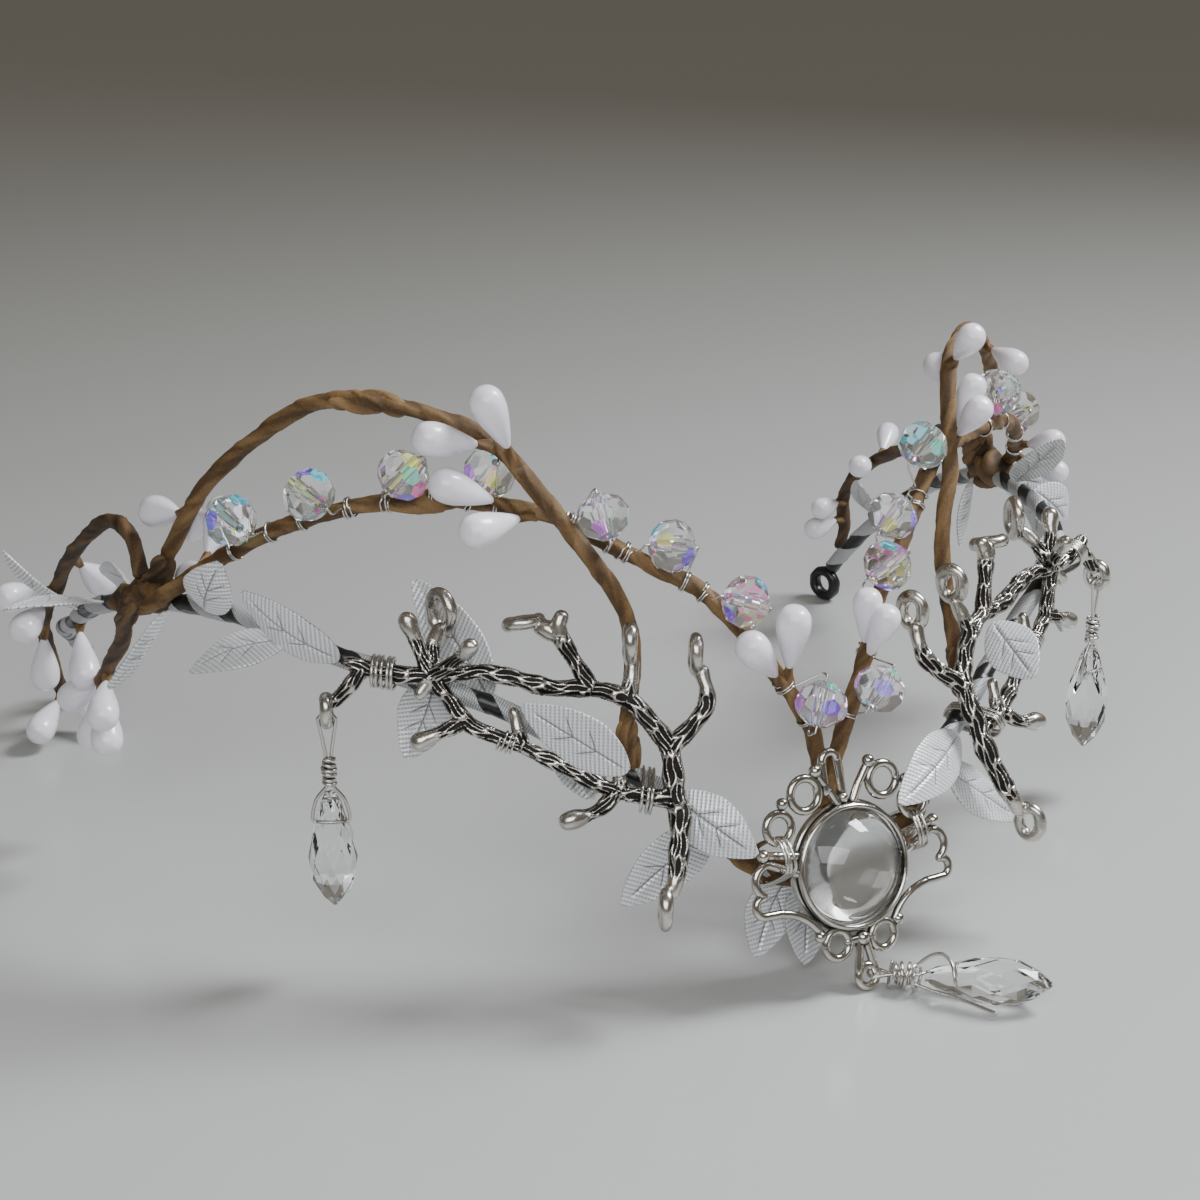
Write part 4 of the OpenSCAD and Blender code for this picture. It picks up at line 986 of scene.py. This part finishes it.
for side, name in SIDES:
    form = new_form()
    for row in TWIG_BINDINGS:
        p = twig_spot(side, row)
        foot, way = near(band_route, p)
        coil(form, p, foot, twig_way(side) + side * way, row[3], 2.35, 2.35)
    # Thinner wire wound on the lower limb alone
    middle = twig_spot(side, [27.5, 41.9, 0.4])
    ahead = unit(twig_spot(side, [30, 43, 0.1]) - twig_spot(side, [25.2, 41.2, 0.5]))
    first = unit(np.cross(ahead, [0, 0, 1]))
    k = np.linspace(-1.6, 1.6, 80)[:, None]
    a = 2 * math.pi * k
    strand(form, middle + ahead * (0.75 * k + 0.15 * np.sin(a))
           + 1.62 * (np.cos(a) * first + np.sin(a) * np.cross(ahead, first)), 0.2)
    mark_pocket_shade(form, 0.8)
    piece("twig_binding_" + name, form, tinned, "wire", "charm_ties_" + name)

form = new_form()
tilt = math.atan(LEAN)
tie_out = 12.6
for side in (-1, 1):
    rise = 3.9 + side * tie_out * math.sin(math.radians(PENDANT_ROLL))
    p = spot(PENDANT) + np.array([side * tie_out, rise * math.sin(tilt), rise * math.cos(tilt)])
    coil(form, p, near(band_route, p)[0], np.array([1.0, 0, 0]), 3, 3.2, 2.4)
mark_pocket_shade(form, 0.8)
piece("pendant_binding", form, tinned, "wire", "pendant_ties")

# ---- pendant
pendant = Matrix.Translation(Vector(spot(PENDANT))) @ Matrix.Rotation(math.pi / 2 - tilt, 4, "X")
rolled = pendant @ Matrix.Rotation(math.radians(PENDANT_ROLL), 4, "Z")


def moved(matrix, points):
    return np.array([matrix @ Vector(p) for p in points])


def filigree(form, matrix, points):
    tube(form, moved(matrix, points), FILIGREE_R, 14, blunt=0.9)


def curl(form, matrix, middle, bend_r, start, sweep):
    a = np.radians(np.linspace(start, start + sweep, max(6, int(abs(sweep) / 7))))
    points = np.stack([middle[0] + bend_r * np.cos(a), middle[1] + bend_r * np.sin(a), 0 * a], 1)
    filigree(form, matrix, points)


def run(form, matrix, a, b):
    filigree(form, matrix, [(*p, 0) for p in np.linspace(a, b, 8)])


form = new_form("groove", "pocket")
for mirror in (1, -1):
    half = rolled @ Matrix.Diagonal((mirror, 1, 1, 1))
    for middle, bend_r, start, sweep in (
            ((7.3, 12.8), 2.6, 0, 360), ((12.6, 8.4), 2.3, 0, 360), ((15.3, 0.5), 2.55, -58, 153),
            ((16.6, -3.4), 1.6, -70, 162), ((15, -14.2), 9.2, 98, 54), ((4.3, -11.9), 2.2, 0, 360)):
        curl(form, half, middle, bend_r, start, sweep)
    for a, b in (((9.6, 3.4), (16, 4.6)), ((9.6, 0.4), (15.1, 3)), ((17.2, -4.9), (13.6, -5.05)),
                 ((0, -11.7), (2.4, -11.8)), ((1.4, 10.3), (2.7, 12.8)), ((2.7, 12.8), (4.7, 15.6))):
        run(form, half, a, b)
    for p, r in (((5, 16.2), 1.05), ((11.6, 12.1), 1.0), ((16, 4.6), 1.05), ((7.4, -10), 1.0)):
        ball(form, half @ Vector((*p, 0.15)), r)
ball(form, pendant @ Vector((0, -11.7, 0.1)), 1.2)
# The tall loop at the top, and the ring that the front drop hangs from
run(form, pendant, (-2.9, 12.6), (-2.9, 17.4))
curl(form, pendant, (-1.5, 17.4), 1.4, 0, 180)
run(form, pendant, (-0.1, 17.4), (0.2, 10.8))
ball(form, pendant @ Vector((0, 11.2, 0.1)), 0.9)
curl(form, pendant, (0, -18), 1.7, 0, 360)
run(form, pendant, (-1.5, -17), (-0.5, -11.6))
run(form, pendant, (1.5, -17), (0.5, -11.6))
lathe(form, [(0, -2.2), (9.9, -2.2), (10.5, -1.95), (10.75, -1.4), (10.7, -0.8), (10.45, -0.45),
             (10.15, -0.35), (10.05, -0.2), (10.2, 0.0), (10.25, 0.5), (10.15, 0.95), (9.9, 1.2),
             (9.65, 1.28), (9.4, 1.15), (9.25, 0.8), (9.2, 0.0), (9.1, -0.42), (8.6, -0.5),
             (0, -0.5)], pendant, 120)
# The gutter round the tray's rim is black
layer = mark(form, "groove")
flat = pendant.inverted()
for v in form.verts:
    p = flat @ v.co
    if 9.95 < math.hypot(p.x, p.y) < 10.3 and -0.45 < p.z < -0.1:
        v[layer] = 0.9
mark_pocket_shade(form, 1.5)
piece("pendant_frame", form, pendant_silver, "cast_silver", "pendant_setting")

form = new_form()
lathe(form, [(0, -0.47), (8.95, -0.47), (8.95, -0.43), (0, -0.43)], pendant, 96)
piece("cabochon_foil", form, foil, "cast_silver")

form = new_form()
base = CAB_D / 2 - 0.05
dome = (base ** 2 + CAB_H ** 2) / (2 * CAB_H)
edge = math.asin(base / dome)
profile = [(0, CAB_SEAT), (base - 0.15, CAB_SEAT), (base, CAB_SEAT + 0.12)]
profile += [(dome * math.sin(a), CAB_SEAT + CAB_H - dome + dome * math.cos(a))
            for a in np.linspace(edge * 0.985, 0, 40)]
lathe(form, profile, pendant, 120)
piece("pendant_cabochon", form, cabochon_glass, "cabochon_glass", "cabochon")


# ---- drops and their wire
def drop_wire(form, matrix, neck, tail, seed):
    """One wire bent round its ring, wound on itself, then round the glass drop and through it.
    With a tail, it is wound loosely, one leg arcs over the stone and its end stands off."""
    top, end = -neck, -neck - BARREL_L
    hole = end - STONE_GAP - STONE_HOLE_DOWN

    def bend(places, radius=TIE_R):
        strand(form, moved(matrix, curve(places, 6)), radius)

    arc = [(EYE_R * math.cos(a), 0, EYE_R * math.sin(a)) for a in np.linspace(0, math.pi, 9)]
    bend([(0.32, 0.1, end + 1), (0.36, 0.1, top - 0.6), (0.55, 0.05, top + 0.25 * neck), *arc,
          (-0.55, -0.05, top + 0.25 * neck), (-0.36, -0.1, top - 0.6), (-0.32, -0.1, end + 1)])
    loose = 1.0 if tail else 0.0
    k = np.linspace(0, 1, 150 + 90 * int(loose))
    a = 2 * math.pi * (5.6 + 1.2 * loose) * k + seed
    r = (0.95 + 0.10 * np.sin(9 * k + seed) + 0.06 * np.sin(23 * k)
         + loose * (0.75 + 0.42 * np.sin(13 * k + 1)))
    z = (top + 0.1 - (BARREL_L - 0.3) * (k + 0.03 * np.sin(14 * k + seed))
         + loose * 0.55 * np.sin(a + 1.5 * np.sin(5 * k)))
    strand(form, moved(matrix, np.stack([r * np.cos(a), r * np.sin(a), z], 1)), TIE_R)
    for s in (1,) if tail else (-1, 1):
        bend([(s * 0.35, 0, end + 1.4), (s * 0.5, 0, end + 0.3), (s * 1.3, 0, end - 0.7),
              (s * 2.2, 0, end - 2), (s * 2.75, 0, end - 3.8), (s * LEG_X, 0, hole + 0.7),
              (s * (LEG_X - 0.15), 0, hole + 0.1), (s * (LEG_X - 0.6), 0, hole)])
    strand(form, moved(matrix, [(x, 0, hole) for x in (-LEG_X + 0.55, 0, LEG_X - 0.55)]), TIE_R)
    if tail:
        bend([(0.35, -0.3, end + 1.4), (0.9, -1.8, end + 0.3), (1.1, -3.2, end - 1.5),
              (0.6, -3.9, end - 3.4), (-1.1, -3.5, end - 5.0), (-2.6, -2.2, hole + 0.2),
              (-3.1, -0.6, hole), (-2.4, 0, hole)])
        bend([(-0.9, 0.6, end + 1.8), (-1.7, 1.4, end - 1.5), (-2.9, 2.1, hole - 0.9),
              (-LEG_X - 2, 2.9, hole - tail - 1)], TIE_R + 0.04)


def drop_stone(form, matrix, neck):
    """Briolette cut into kites by rings of corners that stand half a step apart."""
    top = -neck - BARREL_L - STONE_GAP
    rings = [(0, 0.8), (-1.6, 1.65), (-4.6, 2.45), (-7.8, 3.45), (-11.4, 3.94), (-14.8, 3.55),
             (-17.8, 2.2), (-20, 0.35)]
    for k, (z, r) in enumerate(rings):
        lay = Matrix.Translation((0, 0, top + z)) @ Matrix.Rotation(math.radians(22.5 * (k % 2)), 4, "Z")
        bmesh.ops.create_circle(form, segments=8, radius=r, matrix=matrix @ lay)
    bmesh.ops.convex_hull(form, input=form.verts, use_existing_faces=False)
    bmesh.ops.delete(form, geom=[e for e in form.edges if not e.link_faces], context="EDGES")
    bmesh.ops.dissolve_limit(form, angle_limit=math.radians(1), verts=form.verts, edges=form.edges)


ring_at = spot(PENDANT) - unit([0, LEAN, 1]) * 18 + np.array([1.7, 0, 0])
lying = Matrix.Translation(Vector(ring_at))
for degrees, axis in ((FRONT_TURN, "Z"), (-FRONT_RISE, "Y"), (-90, "Y"), (90, "Z")):
    lying = lying @ Matrix.Rotation(math.radians(degrees), 4, axis)
drops = [(name, Matrix.Translation(Vector(twig_spot(side, DROP_RING) - np.array([0, 0, RING_MID_R])))
          @ Matrix.Rotation(math.radians(side * TWIG_TURN[side]), 4, "Z"), NECK_HANGING, 0,
          "drop_" + name) for side, name in SIDES]
for name, matrix, neck, tail, body in drops + [("front", lying, NECK_FRONT, 5.5, "crown")]:
    form = new_form()
    drop_wire(form, matrix, neck, tail, len(name))
    mark_pocket_shade(form, 0.8)
    piece("drop_wire_" + name, form, tinned, "wire", "bail_" + name, body=body)
    form = new_form()
    drop_stone(form, matrix, neck)
    piece("drop_stone_" + name, form, drop_crystal, "drop_glass", "stone_" + name, body=body,
          smooth=False)


# ---- beads and their thread
def cut_bead():
    """A block cut down by flats to a round bead, then drilled along Z."""
    form = new_form()
    bmesh.ops.create_cube(form, size=16)
    flats = [(90, 0, 3.5), (-90, 0, 3.5)]
    for row, (rise, reach) in enumerate(((52, 3.66), (18, 3.86), (-18, 3.86), (-52, 3.66))):
        flats += [(rise, 45 * k + 22.5 * (row % 2), reach) for k in range(8)]
    for rise, turn, reach in flats:
        a, b = math.radians(rise), math.radians(turn)
        n = Vector((math.cos(a) * math.cos(b), math.cos(a) * math.sin(b), math.sin(a)))
        cut = bmesh.ops.bisect_plane(form, geom=form.verts[:] + form.edges[:] + form.faces[:],
                                     dist=0.0001, plane_co=n * reach, plane_no=n,
                                     clear_outer=True)["geom_cut"]
        bmesh.ops.contextual_create(form, geom=[g for g in cut if isinstance(g, bmesh.types.BMEdge)])
    mouths = [f for f in form.faces if abs(f.normal.z) > 0.99]
    bmesh.ops.inset_region(form, faces=mouths, thickness=0.75, use_even_offset=True)
    rims = [e for f in mouths for e in f.edges]
    bmesh.ops.delete(form, geom=mouths, context="FACES_ONLY")
    bmesh.ops.bridge_loops(form, edges=rims)
    return as_mesh("cut_bead", form)


def bead_frame(row, points):
    """A bead's middle, its hole's way and the way to the vine."""
    p = spot(row[:3])
    q = near(points, p)[0]
    c = q + unit(p - q) * (VINE_R + BEAD_D / 2 + SEAT)
    out, tilted = wall_out(row[0]), math.radians(row[3])
    down = unit(near(points, c)[0] - c)
    a = np.array([-out[1] * math.cos(tilted), out[0] * math.cos(tilted), math.sin(tilted)])
    return c, unit(a - (a @ down) * down), down


def winding(route, at, turns, toward, advance):
    """Turns of thread round a vine that end where they leave for a point."""
    s = along(route)
    ahead, across, up = ways(route)
    i = int(np.linalg.norm(route - at, axis=1).argmin())
    leave = math.atan2((toward - route[i]) @ up[i], (toward - route[i]) @ across[i])
    points = []
    for k in np.linspace(turns, 0, int(turns * 18) + 1):
        reach = s[i] + advance * k * (1 + 0.15 * math.sin(3 * k))
        j = int(np.clip(np.searchsorted(s, reach), 0, len(s) - 1))
        a = leave - 2 * math.pi * k
        r = VINE_R + THREAD_R + 0.10 + 0.05 * math.sin(5 * k)
        points.append(route[j] + r * (math.cos(a) * across[j] + math.sin(a) * up[j]))
    return points


bead_mesh = cut_bead()
for side, vine in (("left", "front_left"), ("right", "front_right")):
    thread = new_form()
    for number, row in enumerate(BEADS[side], 1):
        c, axis, down = bead_frame(row, vine_routes[vine])
        form = new_form()
        form.from_mesh(bead_mesh)
        bmesh.ops.transform(form, matrix=aim(c, axis) @ Matrix.Rotation(0.7 * number, 4, "Z"),
                            verts=form.verts)
        tint = form.faces.layers.float.new("tint")
        for k, face in enumerate(form.faces):
            plain = side == "right" and number > 2 and k % 3 == 0
            face[tint] = (0.618 * k + 0.37 * number) % 1 * (0.8 if plain else 1)
        piece(f"crystal_{side}_{number}", form, crystal_glass, "bead_glass",
              f"bead_{side}_{number}", smooth=False)
        route = vine_fine[vine]
        strands = []
        for s in (-1, 1):
            end = c + s * axis * (BEAD_L / 2 + 0.9)
            at = near(route, end + down * BEAD_D / 2 + s * axis * 1.0)[0]
            flow = near(route, at)[1]
            turns = 1.4 + 0.6 * ((number + s) % 3)
            wound = winding(route, at, turns, end, 0.62 * (1 if (s * axis) @ flow > 0 else -1))
            strands.append(wound + [c + s * axis * (BEAD_L / 2 + 1.5) + down * 1.4,
                                    end + s * axis * 0.3 + down * 0.3, end])
        # Smooth from the last turns on one side, through the bead, to the first on the other
        whole = np.array(strands[0] + [c] + strands[1][::-1])
        start, stop = len(strands[0]) - 5, len(strands[0]) + 6
        middle = curve(whole[start:stop], 5)
        strand(thread, np.vstack([whole[:start], middle, whole[stop:]]), 0.17, 0.18, 8)
    mark_pocket_shade(thread, 0.6)
    piece("bead_thread_" + side, thread, tinned, "wire", "bead_wires_" + side)

# ---- floor, light and camera
form = bmesh.new()
bmesh.ops.create_grid(form, x_segments=2, y_segments=2, size=4)
floor = placed("floor", as_mesh("floor", form))
card = Finish("pale_card", Roughness=0.24, Specular_IOR_Level=0.45)
card.paint(Base_Color=card.blend(card.grain(6, 3), (0.445, 0.455, 0.455), (0.465, 0.475, 0.475)))
floor.data.materials.append(card.material)


def window(name, place, aim_at, wide, high, power, colour):
    light = bpy.data.lights.new(name, "AREA")
    light.shape, light.size, light.size_y = "RECTANGLE", wide, high
    light.energy, light.color = power, colour
    made = placed(name, light)
    made.location = place
    made.rotation_euler = (Vector(aim_at) - Vector(place)).to_track_quat("-Z", "Y").to_euler()


window("window_right", (0.52, -0.13, 0.66), (-0.16, -0.80, 0.0), 0.34, 0.30, 13.6, (0.965, 0.99, 1.0))
window("window_front", (-0.33, -0.60, 0.48), (-0.24, -0.48, 0.0), 0.7, 0.5, 5.2, (0.955, 0.99, 1.0))
world = bpy.data.worlds.new("room")
world.use_nodes = True
sky = world.node_tree.nodes["Background"].inputs
sky["Color"].default_value = (0.64, 0.57, 0.46, 1)
sky["Strength"].default_value = 0.25
bpy.context.scene.world = world

camera = bpy.data.cameras.new("photo")
camera.lens, camera.sensor_width = 72, 36
camera.clip_start, camera.clip_end = 0.01, 20
view_point = placed("photo", camera)
view_point.location = (-0.1909, -0.3503, 0.2)
look_down, look_right = 21.7, 28.1
view_point.rotation_euler = (math.radians(90 - look_down), 0, math.radians(-look_right))
bpy.context.scene.camera = view_point
